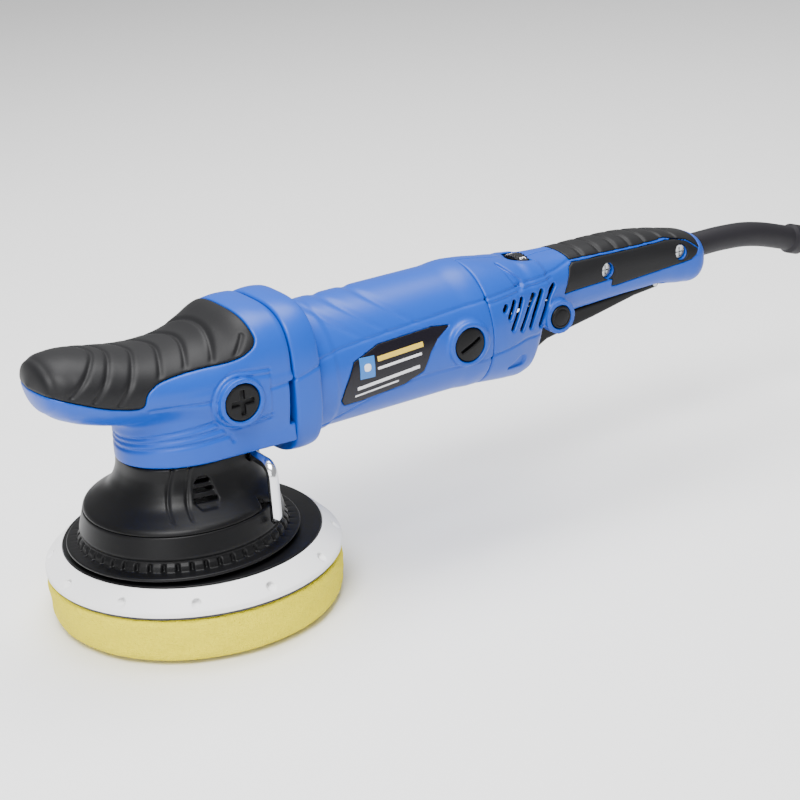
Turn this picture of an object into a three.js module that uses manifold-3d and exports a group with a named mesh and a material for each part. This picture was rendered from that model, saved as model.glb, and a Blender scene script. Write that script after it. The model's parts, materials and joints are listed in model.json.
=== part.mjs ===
// Dual action polisher, in millimetres, +Z up. The origin is on the foam pad's working face, below the
// spindle. +X runs back along the motor towards the cord, and -Y is the operator's left-hand side.
import * as THREE from "three";
import { mergeVertices } from "three/addons/utils/BufferGeometryUtils.js";
import { ParametricGeometry } from "three/addons/geometries/ParametricGeometry.js";
import Module from "manifold-3d";

// ---- clearances ----
const gap = 0.3; // between pieces that touch
const runGap = 0.6; // between pieces that turn past each other
const caseRoom = 3.3; // between the gear case and the column's side walls
const noseRoom = 1.3; // between the gear case and the column's nose

// ---- pad stack, measured up from the floor ----
const padRadius = 75;
const foamThickness = 25;
const loopThickness = 1;
const cushionHeight = 11.6;
const cushionRim = 2.6; // height of the cushion's straight edge, below its bevel
const bevelRun = 9.4; // how far the cushion's bevel leans in
const plateThickness = 3;
const plateProud = 0.4; // how far the backing plate stands above the cushion
const plateHubRadius = 15;
const plateHubHeight = 6;
const screwHeadRadius = 8;
const screwHeadHeight = 5;
const screwWellRadius = 11; // the cushion's open middle, round the plate screw's head
const plateThreadRadius = 4;
const padSides = 36; // flats round each turned piece of the pad, alike so that they stay clear

// ---- orbit ----
const throwRadius = 7.5; // half of the 15 mm orbit
const throwAngle = 30; // degrees, where the pad's centre stands at rest
const padShaftRadius = 6;
const padBearingRadius = 16;
const padBearingDepth = 11;
const blockWall = 4;
const blockHeight = 20;
const blockRise = 4.5; // from the plate's hub up to the eccentric block
const counterweightRadius = 38;
const counterweightHeight = 9;

// ---- spindle and gears; heights are measured from the motor's axis ----
const motorHeight = 110.7; // of the motor's axis above the floor
const spindleRadius = 6;
const crownTeeth = 36;
const pinionTeeth = 8;
const crownPitchRadius = 19;
const toothFace = 7;
const toothRoot = 1.1; // below the pitch line, at the pitch radius
const toothTip = 0.8; // above it
const bearingWidth = 9;
const lowerBearing = -26.7;
const upperBearing = 10.3;
const lowerBearingRadius = 15;
const upperBearingRadius = 13;
const caseWall = 2.2;

// ---- motor, along +X ----
const shaftRadius = 5;
const shaftEndRadius = 4;
const pinionBore = 2.2;
const frontBearing = 40;
const frontBearingRadius = 13;
const rearBearingRadius = 11;
const rearBearingWidth = 7;
const rotorRadius = 17.5;
const rotorSlots = 12;
const slotDepth = 7;
const slotWidth = 3.6;
const airGap = 0.9;
const stackLength = 40;
const coilReach = 6; // of the field coils past the stack's ends
const fanWidth = 10;
const fanRadius = 27;
const fanBlades = 11;
const commutatorRadius = 11.5;
const commutatorLength = 16;
const brushWidth = 8;
const brushHeight = 5;
const brushLength = 12;
const holderWall = 1.4;
const brushCapRadius = 9;
const springRadius = 1.5;
const springTurns = 4;

// ---- outer shells ----
const wall = 2.6;
const gripThickness = 3.4;
const headRear = 50;
const collarLength = 15;
const housingLength = 104.7;
const housingRadius = 33.4;
const housingWall = 3.2;
const labelThickness = 0.5;
const sideCapX = 20.5;
const sideCapHeight = 4.7; // above the motor's axis
const sideCapRadius = 9.4;
const sideCapFace = 38.2; // distance of its face from the middle plane
const sideHandleBore = 5;
const shroudDrop = 24.4; // from the motor's axis down to the shroud's top
const skirtClear = 2.4; // between the skirt ring and the turning plate
const skirtHeight = 18.6;
const skirtRadius = 48.7;
const flangeRadius = 58.5;

// ---- handle and controls; places are measured from the handle's front and the motor's axis ----
const handleWall = 2.4;
const inlayDepth = 1.6;
const handleScrewRadius = 2;
const screwRecessRadius = 4.4;
const triggerPivotX = 125.4;
const triggerPivotHeight = -5.2;
const triggerHalf = 12;
const triggerSwing = 5; // degrees from released to fully pressed
const triggerPinRadius = 1.5;
const lockX = 49.9;
const lockHeight = -3.4;
const lockRadius = 6.2;
const lockLip = 1.3;
const lockFace = 26.5;
const dialX = 40.4;
const dialHeight = 13.3;
const dialRadius = 15;
const dialWidth = 7;
const dialBore = 3.3;
const dialRibs = 14;
const bootRadius = 7.1;
const bootBore = 4.2;
const bootCollarRadius = 8.8;
const bootFlangeRadius = 8.6;

// ---- stored hex key ----
const keySize = 5; // across flats
const keyArm = 29.5;
const keyLeg = 24;
const keyBend = 5.5;
const keyX = 28.3;
const keyY = -46.5;
const keyDrop = 27.7; // from the motor's axis down to its short leg

const far = 60; // past every outer surface, for tools that cut right through

// ---- sizes and places worked out from those above ----
const plateRadius = padRadius - bevelRun - gap;
const loopBottom = foamThickness + gap;
const cushionBottom = loopBottom + loopThickness + gap;
const cushionTop = cushionBottom + cushionHeight;
const plateTop = cushionTop + plateProud;
const plateBottom = plateTop - plateThickness;
const hubTop = plateTop + plateHubHeight;
const blockBottom = hubTop + blockRise;
const blockTop = blockBottom + blockHeight;
const padX = throwRadius * Math.cos(THREE.MathUtils.degToRad(throwAngle));
const padY = throwRadius * Math.sin(THREE.MathUtils.degToRad(throwAngle));
const pinionPitchRadius = (crownPitchRadius * pinionTeeth) / crownTeeth;
const crownTop = -pinionPitchRadius;
const gearCavity = crownPitchRadius + toothFace / 2 + 1.4;
const towerRadius = gearCavity + caseWall;
const columnHalf = towerRadius + wall + caseRoom;
const columnFront = towerRadius + wall + noseRoom;
const columnBottom = gap - shroudDrop;
const skirtBottom = plateTop + skirtClear;
const skirtTop = skirtBottom + skirtHeight;
const shroudTop = motorHeight - shroudDrop;
const collarRear = headRear + gap + collarLength;
const collarHalf = housingRadius + 3.9;
const collarTop = housingRadius + 9.1;
const collarBottom = -housingRadius - 3.3;
const housingFront = collarRear + gap;
const housingRear = housingFront + housingLength;
const housingRimRadius = housingRadius + 0.9;
const housingBore = housingRadius - housingWall;
const bossProud = housingRadius + 2.6;
const capSeat = housingRadius - 1.6;
const handleFront = housingRear + gap;
const rearBearing = housingRear - rearBearingWidth - gap;
const brushX = rearBearing - commutatorLength / 2 - 0.5;
const stackRear = brushX - 16.5;
const stackFront = stackRear - stackLength;
const fanFront = stackFront - 9 - fanWidth;
const statorRadius = housingBore - 0.8;
const statorBore = rotorRadius + airGap;

const wasm = await Module();
wasm.setup();

// A closed three.js geometry as a solid: shared corners are merged and slivers left out.
function solid(geometry) {
  const bare = geometry.clone();
  bare.deleteAttribute("normal");
  bare.deleteAttribute("uv");
  const merged = mergeVertices(bare, 1e-4);
  const corners = merged.index.array;
  const kept = [];
  for (let i = 0; i < corners.length; i += 3) {
    const [a, b, c] = [corners[i], corners[i + 1], corners[i + 2]];
    if (a !== b && b !== c && c !== a) kept.push(a, b, c);
  }
  const mesh = new wasm.Mesh({
    numProp: 3,
    vertProperties: merged.attributes.position.array,
    triVerts: new Uint32Array(kept),
  });
  return new wasm.Manifold(mesh);
}

const join = (...solids) => solids.reduce((a, b) => a.add(b));
const cut = (body, ...tools) => tools.reduce((a, b) => a.subtract(b), body);

// A box between two corners.
function block(x0, x1, y0, y1, z0, z1) {
  const box = new THREE.BoxGeometry(x1 - x0, y1 - y0, z1 - z0);
  return solid(box.translate((x0 + x1) / 2, (y0 + y1) / 2, (z0 + z1) / 2));
}

// A profile of [radius, height] points turned about Z; it starts and ends on the axis or closes on itself.
function turned(points, sides = 28) {
  const profile = points.map(([r, z]) => new THREE.Vector2(r, z));
  return solid(new THREE.LatheGeometry(profile, sides).rotateX(Math.PI / 2));
}
const rod = (radius, z0, z1, sides = 20) => turned([[0, z0], [radius, z0], [radius, z1], [0, z1]], sides);
const tube = (inner, outer, z0, z1, sides = 24) =>
  turned([[inner, z0], [outer, z0], [outer, z1], [inner, z1], [inner, z0]], sides);

// Turns a solid made about Z so that it lies along +X, or along +Y, and moves it to its axis.
const alongX = (body, z = 0) => body.rotate([0, 90, 0]).translate([0, 0, z]);
const alongY = (body, x, z) => body.rotate([-90, 0, 0]).translate([x, 0, z]);

const outlineOf = (points) => new THREE.Shape(points.map((p) => new THREE.Vector2(...p)));
const circleOf = (radius) => new THREE.Shape().absarc(0, 0, radius, 0, 2 * Math.PI, false);

// An outline of points in X and Z carried across the tool from y0 to y1.
function sidePrism(points, y0 = -far, y1 = far) {
  const across = new THREE.ExtrudeGeometry(outlineOf(points), { depth: y1 - y0, bevelEnabled: false });
  return solid(across.rotateX(Math.PI / 2).translate(0, y1, 0));
}

// A shape in X and Y carried up from z0 to z1.
function plate(shape, z0, z1) {
  const up = new THREE.ExtrudeGeometry(shape, { depth: z1 - z0, bevelEnabled: false, curveSegments: 7 });
  return solid(up.translate(0, 0, z0));
}

// An outline with every corner moved inwards by a distance, for a wall or a clearance of even width.
function insetOutline(points, distance) {
  const area = THREE.ShapeUtils.area(points.map((p) => new THREE.Vector2(...p)));
  const turn = area > 0 ? 1 : -1;
  return points.map((point, i) => {
    const before = points[(i + points.length - 1) % points.length];
    const after = points[(i + 1) % points.length];
    const a = new THREE.Vector2(point[0] - before[0], point[1] - before[1]).normalize();
    const b = new THREE.Vector2(after[0] - point[0], after[1] - point[1]).normalize();
    const normal = new THREE.Vector2(-(a.y + b.y), a.x + b.x).normalize();
    const reach = (turn * distance) / Math.max(0.4, normal.dot(new THREE.Vector2(-a.y, a.x)));
    return [point[0] + normal.x * reach, point[1] + normal.y * reach];
  });
}

// A tube-like body along X with superellipse sections.
// Each station is [x, bottom, top, half width, squareness].
function loft(stations, inset = 0, sides = 20) {
  const last = stations.length - 1;
  const at = (v) => {
    const i = Math.min(Math.floor(v * last), last - 1);
    const share = v * last - i;
    return stations[i].map((value, k) => value + (stations[i + 1][k] - value) * share);
  };
  const surface = (u, v, target) => {
    const end = v === 0 || v === 1;
    const inner = Math.min(Math.max((v * (last + 2) - 1) / last, 0), 1);
    const [x, bottom, top, half, power] = at(inner);
    const angle = u * 2 * Math.PI;
    const [c, s] = [Math.cos(angle), Math.sin(angle)];
    const round = (value) => Math.sign(value) * Math.abs(value) ** (2 / power);
    const reach = end ? 0 : 1;
    const middle = (bottom + top) / 2;
    const y = reach * round(c) * Math.max(half - inset, 1);
    const z = middle + reach * round(s) * Math.max((top - bottom) / 2 - inset, 1);
    target.set(x, y, z);
  };
  return solid(new ParametricGeometry(surface, sides, last + 2));
}

// The pad stack stands on the floor. The machine is placed by its motor's axis, and the handle by its front.
function frameIn(parent, x, y, z) {
  const frame = new THREE.Group();
  frame.position.set(x, y, z);
  parent.add(frame);
  return frame;
}
const group = new THREE.Group();
const pad = frameIn(group, padX, padY, 0);
const machine = frameIn(group, 0, 0, motorHeight);
const handle = frameIn(machine, handleFront, 0, 0);
const motor = frameIn(machine, 0, 0, 0);
motor.rotation.y = Math.PI / 2;

const colours = {
  blue: [0x2568c8, 0.42, 0],
  black: [0x1c1c1e, 0.55, 0],
  rubber: [0x202022, 0.75, 0],
  white: [0xececec, 0.6, 0],
  foam: [0xf2ea72, 0.95, 0],
  loop: [0x2b2b2e, 0.95, 0],
  steel: [0xb4b6b9, 0.3, 1],
  bright: [0xd6d8db, 0.15, 1],
  casting: [0xa2a5a8, 0.5, 1],
  copper: [0xb06a35, 0.35, 1],
  brass: [0xc2a24e, 0.3, 1],
  carbon: [0x2a2a2c, 0.8, 0],
  board: [0x2c6a3c, 0.6, 0],
};

// Adds one sub-part: a named mesh with its own material.
function piece(name, body, finish, parent = group) {
  const { vertProperties, triVerts, numProp } = body.getMesh();
  const geometry = new THREE.BufferGeometry();
  const corners = new THREE.InterleavedBuffer(vertProperties, numProp);
  geometry.setAttribute("position", new THREE.InterleavedBufferAttribute(corners, 3, 0));
  geometry.setIndex(new THREE.BufferAttribute(triVerts, 1));
  const flat = geometry.toNonIndexed();
  flat.computeVertexNormals();
  const [color, roughness, metalness] = colours[finish];
  const mesh = new THREE.Mesh(flat, new THREE.MeshStandardMaterial({ color, roughness, metalness }));
  mesh.name = name;
  parent.add(mesh);
  return mesh;
}

// ---- pad: foam, hook-and-loop, cushion, plate and its shaft, about the pad's own axis ----
function makePad() {
  const foamRadius = padRadius - 0.4;
  const foam = [
    [0, 0], [foamRadius - 6.6, 0], [foamRadius - 2.6, 1.6], [foamRadius - 0.6, 6],
    [foamRadius, foamThickness - 4], [foamRadius, foamThickness], [0, foamThickness],
  ];
  piece("foam_pad", turned(foam, padSides), "foam", pad);
  piece("loop_disc", rod(padRadius - 1, loopBottom, loopBottom + loopThickness, padSides), "loop", pad);
  const pocket = plateBottom - gap;
  const cushion = [
    [screwWellRadius, cushionBottom], [padRadius, cushionBottom], [padRadius, cushionBottom + cushionRim],
    [plateRadius + gap, cushionTop], [plateRadius + gap, pocket], [screwWellRadius, pocket],
    [screwWellRadius, cushionBottom],
  ];
  piece("cushion_ring", turned(cushion, padSides), "white", pad);
  const screwHole = plateThreadRadius + gap;
  const seat = plateTop + 1.2;
  const backing = [
    [screwHole, plateBottom], [plateRadius, plateBottom], [plateRadius, plateTop],
    [plateHubRadius + 6, plateTop], [plateHubRadius, plateTop + 1.5], [plateHubRadius, hubTop],
    [padShaftRadius + gap, hubTop], [padShaftRadius + gap, seat], [screwHole, seat], [screwHole, plateBottom],
  ];
  piece("backing_plate", turned(backing, padSides), "black", pad);
  const underPlate = plateBottom - gap;
  const screw = join(
    rod(screwHeadRadius, underPlate - screwHeadHeight, underPlate, 24),
    rod(plateThreadRadius, underPlate - 1, hubTop - 1, 20),
  );
  const socket = rod(keySize / 2, underPlate - screwHeadHeight - 1, underPlate - 1.5, 6);
  piece("plate_screw", cut(screw, socket), "steel", pad);
  const shaft = join(
    rod(padShaftRadius, seat + gap, blockBottom + padBearingDepth + 2.5),
    rod(padShaftRadius + 3, hubTop + gap, hubTop + 3),
  );
  piece("pad_shaft", cut(shaft, rod(screwHole, plateTop, hubTop - 0.5)), "steel", pad);
}
makePad();

// ---- spindle: eccentric block with its counterweight, shaft and crown gear, turning about Z ----

// A ball bearing as one ring, with the groove between its races on the upper face.
function bearing(bore, outer, width, sides = 16) {
  const middle = (bore + outer) / 2;
  const race = (outer - bore) / 8;
  const floor = width * 0.8;
  return turned([
    [bore, 0], [outer, 0], [outer, width], [middle + race, width], [middle + race, floor],
    [middle - race, floor], [middle - race, width], [bore, width], [bore, 0],
  ], sides);
}

// Where the two gears' pitch cones meet: a height from the motor's axis, at a distance from the spindle.
const pitchLine = (radius) => (-pinionPitchRadius * radius) / crownPitchRadius;

// The crown gear's straight teeth, each a wedge that widens from the inner to the outer radius.
function crownTeethSolids(inner, outer) {
  const teeth = [];
  for (let i = 0; i < crownTeeth; i++) {
    const tooth = new THREE.CylinderGeometry(1, 1, 1, 4, 1);
    const place = tooth.attributes.position;
    for (let k = 0; k < place.count; k++) {
      const outside = place.getX(k) + place.getZ(k) > 0;
      const across = place.getX(k) - place.getZ(k) > 0 ? 1 : -1;
      const high = place.getY(k) > 0;
      const radius = outside ? outer : inner;
      const half = (Math.PI * radius * (high ? 0.25 : 0.5)) / crownTeeth;
      const scale = radius / crownPitchRadius;
      const height = high ? toothTip * scale : -toothRoot * scale - 0.5;
      place.setXYZ(k, radius, across * half, pitchLine(radius) + height);
    }
    teeth.push(solid(tooth).rotate([0, 0, (360 * i) / crownTeeth]));
  }
  return teeth;
}

function makeSpindle() {
  const halfSpread = 1.25; // of the counterweight's sector, in radians
  const heavy = THREE.MathUtils.degToRad(throwAngle + 180);
  const sector = new THREE.Shape();
  sector.moveTo(0, 0);
  sector.absarc(0, 0, counterweightRadius, heavy - halfSpread, heavy + halfSpread, false);
  sector.lineTo(0, 0);
  const overPad = (body) => body.translate([padX, padY, 0]);
  const block = join(
    overPad(rod(padBearingRadius + blockWall, blockBottom, blockTop)),
    rod(spindleRadius + 6, blockTop - 6, blockTop + 3),
    plate(sector, blockBottom + 0.5, blockBottom + 0.5 + counterweightHeight),
  );
  const pocket = overPad(rod(padBearingRadius + gap, blockBottom - 1, blockBottom + padBearingDepth + 1));
  const relief = overPad(rod(padShaftRadius + 4, blockBottom, blockTop - 4));
  const bore = rod(spindleRadius + gap, blockTop - 3, blockTop + 4);
  piece("eccentric_block", cut(block, pocket, relief, bore), "casting");
  const padBearing = bearing(padShaftRadius + gap, padBearingRadius, padBearingDepth);
  piece("pad_bearing", overPad(padBearing).translate([0, 0, blockBottom + 0.5]), "steel");

  const innerRace = lowerBearing + bearingWidth;
  const gearBottom = innerRace + 2.5;
  const shaft = join(
    rod(spindleRadius, blockTop - 3 + gap - motorHeight, upperBearing + bearingWidth),
    tube(spindleRadius - 1, spindleRadius + 2, innerRace + gap, gearBottom - gap),
  );
  piece("drive_spindle", shaft, "steel", machine);
  const inner = crownPitchRadius - toothFace / 2;
  const outer = crownPitchRadius + toothFace / 2;
  const rootAt = (radius) => pitchLine(radius) - (toothRoot * radius) / crownPitchRadius;
  const gearBody = turned([
    [spindleRadius + gap, gearBottom], [spindleRadius + 5, gearBottom], [outer, crownTop - 6],
    [outer, rootAt(outer)], [inner, rootAt(inner)], [inner - 1.5, crownTop - 4],
    [spindleRadius + gap, crownTop - 4], [spindleRadius + gap, gearBottom],
  ], crownTeeth / 2);
  const teeth = crownTeethSolids(inner + 0.2, outer - 0.4);
  piece("crown_gear", join(gearBody, ...teeth), "steel", machine);
}
makeSpindle();

// ---- armature: everything on the motor shaft, made about Z and laid along +X ----
const pinionFront = crownPitchRadius - toothFace / 2;
const pinionRear = pinionFront + toothFace + 2;

// Scales a geometry's X and Y in proportion to Z, so that a straight gear becomes a bevel one.
function coned(geometry) {
  const place = geometry.attributes.position;
  for (let k = 0; k < place.count; k++) {
    const scale = place.getZ(k) / crownPitchRadius;
    place.setXY(k, place.getX(k) * scale, place.getY(k) * scale);
  }
  return geometry;
}

function makeArmature() {
  const pinionRoot = pinionPitchRadius - toothRoot;
  const pinionTip = pinionPitchRadius + toothTip;
  const [rootHalf, tipHalf] = [0.65, 0.35]; // of a tooth's width
  const core = new THREE.CylinderGeometry(pinionRoot, pinionRoot, pinionRear - pinionFront, 16);
  const cone = solid(coned(core.rotateX(Math.PI / 2).translate(0, 0, (pinionFront + pinionRear) / 2)));
  const teeth = [];
  for (let i = 0; i < pinionTeeth; i++) {
    const turn = (360 * (i + 0.5)) / pinionTeeth;
    const tooth = new THREE.Shape();
    tooth.moveTo(0, -rootHalf);
    tooth.lineTo(pinionRoot, -rootHalf);
    tooth.lineTo(pinionTip, -tipHalf);
    tooth.lineTo(pinionTip, tipHalf);
    tooth.lineTo(pinionRoot, rootHalf);
    tooth.lineTo(0, rootHalf);
    const length = pinionRear - 2 - pinionFront;
    const straight = new THREE.ExtrudeGeometry(tooth, { depth: length, bevelEnabled: false });
    teeth.push(solid(coned(straight.translate(0, 0, pinionFront))).rotate([0, 0, turn]));
  }
  const socketFront = pinionRear - 6;
  const socket = rod(pinionBore + gap, socketFront, pinionRear + 1, 16);
  piece("pinion_gear", cut(join(cone, ...teeth), socket), "steel", motor);
  const shaftRear = rearBearing + rearBearingWidth + 1;
  const shaft = turned([
    [0, socketFront + gap], [pinionBore, socketFront + gap], [pinionBore, pinionRear + gap],
    [shaftRadius, pinionRear + gap], [shaftRadius, rearBearing - 2], [shaftEndRadius, rearBearing - 2],
    [shaftEndRadius, shaftRear], [0, shaftRear],
  ], 24);
  piece("armature_shaft", shaft, "steel", motor);
  const slot = (clear, z0, z1, reach) =>
    block(rotorRadius - slotDepth + clear, reach, -slotWidth / 2 + clear, slotWidth / 2 - clear, z0, z1);
  const stack = tube(shaftRadius + gap, rotorRadius, stackFront, stackRear, 36);
  const slots = [];
  const bars = [];
  for (let i = 0; i < rotorSlots; i++) {
    const turn = [0, 0, (360 * i) / rotorSlots];
    slots.push(slot(0, stackFront - 1, stackRear + 1, rotorRadius + 1).rotate(turn));
    bars.push(slot(gap, stackFront - 1, stackRear + 1, rotorRadius - 0.8).rotate(turn));
  }
  piece("rotor_core", cut(stack, ...slots), "casting", motor);
  const endRing = (z0, z1) => tube(shaftRadius + 2, rotorRadius - 1.5, z0, z1, rotorSlots);
  const windings = join(
    endRing(stackFront - 6, stackFront - gap),
    endRing(stackRear + gap, stackRear + 5),
    ...bars,
  );
  piece("rotor_windings", windings, "copper", motor);
  const commutatorFront = brushX - commutatorLength / 2;
  const riser = commutatorFront - 2;
  const commutator = join(
    tube(shaftRadius + gap, commutatorRadius, commutatorFront, commutatorFront + commutatorLength, 24),
    tube(shaftRadius + gap, commutatorRadius + 1.6, riser, commutatorFront + 2, 24),
  );
  piece("commutator", commutator, "copper", motor);
  const disc = turned([
    [shaftRadius + gap, fanFront], [fanRadius * 0.45, fanFront], [fanRadius, fanFront + 1],
    [fanRadius, fanFront + 2.6], [fanRadius * 0.5, fanFront + 2.6], [shaftRadius + 4, fanFront + fanWidth],
    [shaftRadius + gap, fanFront + fanWidth], [shaftRadius + gap, fanFront],
  ], 22);
  const blades = [];
  for (let i = 0; i < fanBlades; i++) {
    const blade = block(shaftRadius + 3, fanRadius - 0.4, -0.8, 0.8, fanFront + 1.5, fanFront + fanWidth);
    blades.push(blade.rotate([0, 0, (360 * i) / fanBlades]));
  }
  piece("cooling_fan", join(disc, ...blades), "black", motor);
  const frontRace = bearing(shaftRadius + gap, frontBearingRadius, bearingWidth);
  piece("front_bearing", frontRace.translate([0, 0, frontBearing]), "steel", motor);
  const rearRace = bearing(shaftEndRadius + gap, rearBearingRadius, rearBearingWidth);
  piece("rear_bearing", rearRace.translate([0, 0, rearBearing]), "steel", motor);
}
makeArmature();

// ---- field: laminated core with two poles, and a coil round each pole ----
function makeField() {
  const yoke = statorRadius - 3.4;
  const shoe = statorBore + 3.2;
  const neck = 9;
  const poles = cut(
    join(
      tube(statorBore, shoe, stackFront, stackRear, 32),
      block(-yoke - 1, yoke + 1, -neck, neck, stackFront, stackRear),
    ),
    rod(statorBore, stackFront - 1, stackRear + 1, 32),
    block(-11, 11, -shoe - 1, shoe + 1, stackFront - 1, stackRear + 1),
  );
  piece("stator_core", join(tube(yoke, statorRadius, stackFront, stackRear, 32), poles), "casting", motor);
  const coilHalf = 16;
  for (const [name, side] of [["upper_field_coil", -1], ["lower_field_coil", 1]]) {
    const ring = cut(
      block(shoe + gap - 7, yoke, -coilHalf, coilHalf, stackFront - coilReach, stackRear + coilReach),
      block(0, yoke + 1, -neck - gap, neck + gap, stackFront - gap, stackRear + gap),
      rod(shoe + gap, stackFront - coilReach - 1, stackRear + coilReach + 1, 30),
    );
    const inBore = rod(yoke - gap, stackFront - coilReach - 1, stackRear + coilReach + 1, 32);
    const coil = ring.intersect(inBore);
    piece(name, side > 0 ? coil : coil.rotate([0, 0, 180]), "copper", motor);
  }
}
makeField();

// ---- head: the outer form is a beak along X standing on a round-nosed column ----
const beak = [
  [-71.5, 23.3, 29.3, 4, 2], [-69.5, 16.3, 34.3, 13, 2], [-65, 10.8, 37.3, 19, 2.1],
  [-56, 5.3, 38.5, 23.5, 2.2], [-46, 1.8, 37.5, 26.5, 2.3], [-33, -1.2, 34.8, 29.5, 2.3],
  [-16, -3.2, 31.8, 32, 2.3], [-2, -6.7, 31.3, 33.5, 2.4], [9, -11.7, 32.9, 34.5, 2.5],
  [20, -16.7, 37.3, 35.5, 2.7],
  [29, -19.7, collarTop - 1.2, collarHalf - 1.1, 3], [37, -21.7, collarTop + 0.4, collarHalf - 0.7, 3],
  [headRear, -22.7, collarTop, collarHalf - 0.3, 3],
];
const beakSides = 18;

// The beak's form drawn inside itself by a distance, at its nose as well.
const beakInside = (distance) =>
  loft(beak.map(([x, ...rest]) => [x + (x < 0 ? distance : 0), ...rest]), distance, beakSides);

// The round-nosed plan of the column, drawn inside by a distance.
function columnPlan(inset, rear = headRear) {
  const middle = 10; // where the nose's ellipse is widest
  const flare = 2.6; // the plan is this much wider at the head's rear
  const half = columnHalf - inset;
  const nose = new THREE.Shape();
  nose.absellipse(middle, 0, columnFront + middle - inset, half, Math.PI / 2, (3 * Math.PI) / 2, false);
  nose.lineTo(rear, -half - flare);
  nose.lineTo(rear, half + flare);
  nose.lineTo(middle, half);
  return nose;
}

// The side view of the soft grip, as an outline that runs out past the nose and the top.
const gripOutline = [
  [-80, 22.8], [-59, 21.8], [-44, 15.3], [-28, 11.9], [-25.5, 18.3], [-20, 22.3], [-7, 25.3], [22, 23.8],
  [33, 30.8], [17, 42.3], [12, far], [-80, far],
];

function makeHead() {
  const columnTop = 9.3;
  const outer = join(loft(beak, 0, beakSides), plate(columnPlan(0), columnBottom, columnTop));
  const gripBody = outer.intersect(sidePrism(insetOutline(gripOutline, gap)));
  piece("head_grip", cut(gripBody, beakInside(gripThickness)), "rubber", machine);
  const hollow = loft(
    beak.filter(([x]) => x > -60).map(([x, ...rest]) => [x === headRear ? x + 1 : x, ...rest]),
    gripThickness + gap + wall,
    12,
  );
  const open = plate(columnPlan(wall, headRear + 1), columnBottom - 1, columnTop + 4);
  const slot = block(headRear - 3.2, headRear + 1, -40, -30, -14.7, 8.3);
  const slots = join(slot, slot.mirror([0, 1, 0]));
  const capRim = sideCapRadius + gap;
  const capHole = alongY(rod(capRim, -far, far), sideCapX, sideCapHeight);
  const surround = alongY(
    tube(capRim, capRim + 2.3, -sideCapFace - 0.2, sideCapFace + 0.2, 20), sideCapX, sideCapHeight);
  const underGrip = beakInside(gripThickness + gap).intersect(outer);
  const shell = cut(join(cut(outer, sidePrism(gripOutline)), underGrip), hollow, open, slots);
  const rim = cut(surround, block(0, headRear, -33, 33, -far, far));
  piece("head_cover", cut(join(shell, rim), capHole), "blue", machine);
}
makeHead();

// ---- gear case: a bearing tower about Z with a motor flange along X and a boss for each side handle ----
function makeGearCase() {
  const bossReach = 28.4;
  const motorBore = 9;
  const retainerTop = lowerBearing + bearingWidth + 0.7;
  const towerTop = upperBearing + bearingWidth + 2.6;
  const body = join(
    rod(towerRadius, retainerTop + gap, crownTop + 12, 24),
    rod(upperBearingRadius + 3, crownTop + 10, towerTop, 24),
    alongX(rod(19, crownPitchRadius - 1, headRear - gap, 20)),
    alongX(rod(23.5, headRear - 8, headRear - gap, 20)),
    alongY(rod(sideHandleBore + 3, -bossReach, bossReach, 16), sideCapX, sideCapHeight),
  );
  const inside = join(
    rod(gearCavity, retainerTop - 1, crownTop + 9, 24),
    rod(upperBearingRadius + gap, crownTop + 8, upperBearing + bearingWidth + gap, 24),
    alongX(rod(frontBearingRadius + gap, frontBearing - gap, headRear + 1, 20)),
    alongX(rod(motorBore, 10, headRear, 20)),
    rod(towerRadius + gap, lowerBearing, retainerTop + gap, 24),
  );
  const bore = alongY(rod(sideHandleBore, 24, far), sideCapX, sideCapHeight);
  piece("gear_case", cut(body, inside, bore, bore.mirror([0, 1, 0])), "casting", machine);
  for (const [name, radius, height] of [
    ["upper_bearing", upperBearingRadius, upperBearing],
    ["lower_bearing", lowerBearingRadius, lowerBearing],
  ]) {
    const race = bearing(spindleRadius + gap, radius, bearingWidth);
    piece(name, race.translate([0, 0, height]), "steel", machine);
  }
  const [cup, lip, rimBottom] = [lowerBearingRadius + 3, lowerBearing - 3.4, lowerBearing + 4];
  const retainer = turned([
    [spindleRadius + 3, lip], [cup, lip], [cup, rimBottom], [towerRadius, rimBottom],
    [towerRadius, retainerTop], [lowerBearingRadius + gap, retainerTop],
    [lowerBearingRadius + gap, lowerBearing - gap], [spindleRadius + 3, lowerBearing - gap],
    [spindleRadius + 3, lip],
  ], 24);
  piece("bearing_retainer", retainer, "casting", machine);

  const [crossArm, crossHalf] = [6.2, 1.3];
  const crossFloor = sideCapFace - 1.8;
  const head = rod(sideCapRadius, sideCapFace - 4.2, sideCapFace, 32);
  const cap = cut(
    join(head, rod(sideHandleBore - gap, 25, sideCapFace - 3.7, 20)),
    block(-crossArm, crossArm, -crossHalf, crossHalf, crossFloor, far),
    block(-crossHalf, crossHalf, -crossArm, crossArm, crossFloor, far),
  );
  const rightCap = alongY(cap, sideCapX, sideCapHeight);
  piece("right_side_cap", rightCap, "black", machine);
  piece("left_side_cap", rightCap.mirror([0, 1, 0]), "black", machine);
}
makeGearCase();

// ---- shroud and skirt ring below the head, with heights from the floor ----

// How the shroud goes from the column's plan to the skirt's circle: [share of the drop, share of the spread].
const shroudSteps = [[0, 0], [0.28, 0.05], [0.5, 0.18], [0.69, 0.4], [0.83, 0.72], [0.92, 0.93], [1, 1]];

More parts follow.
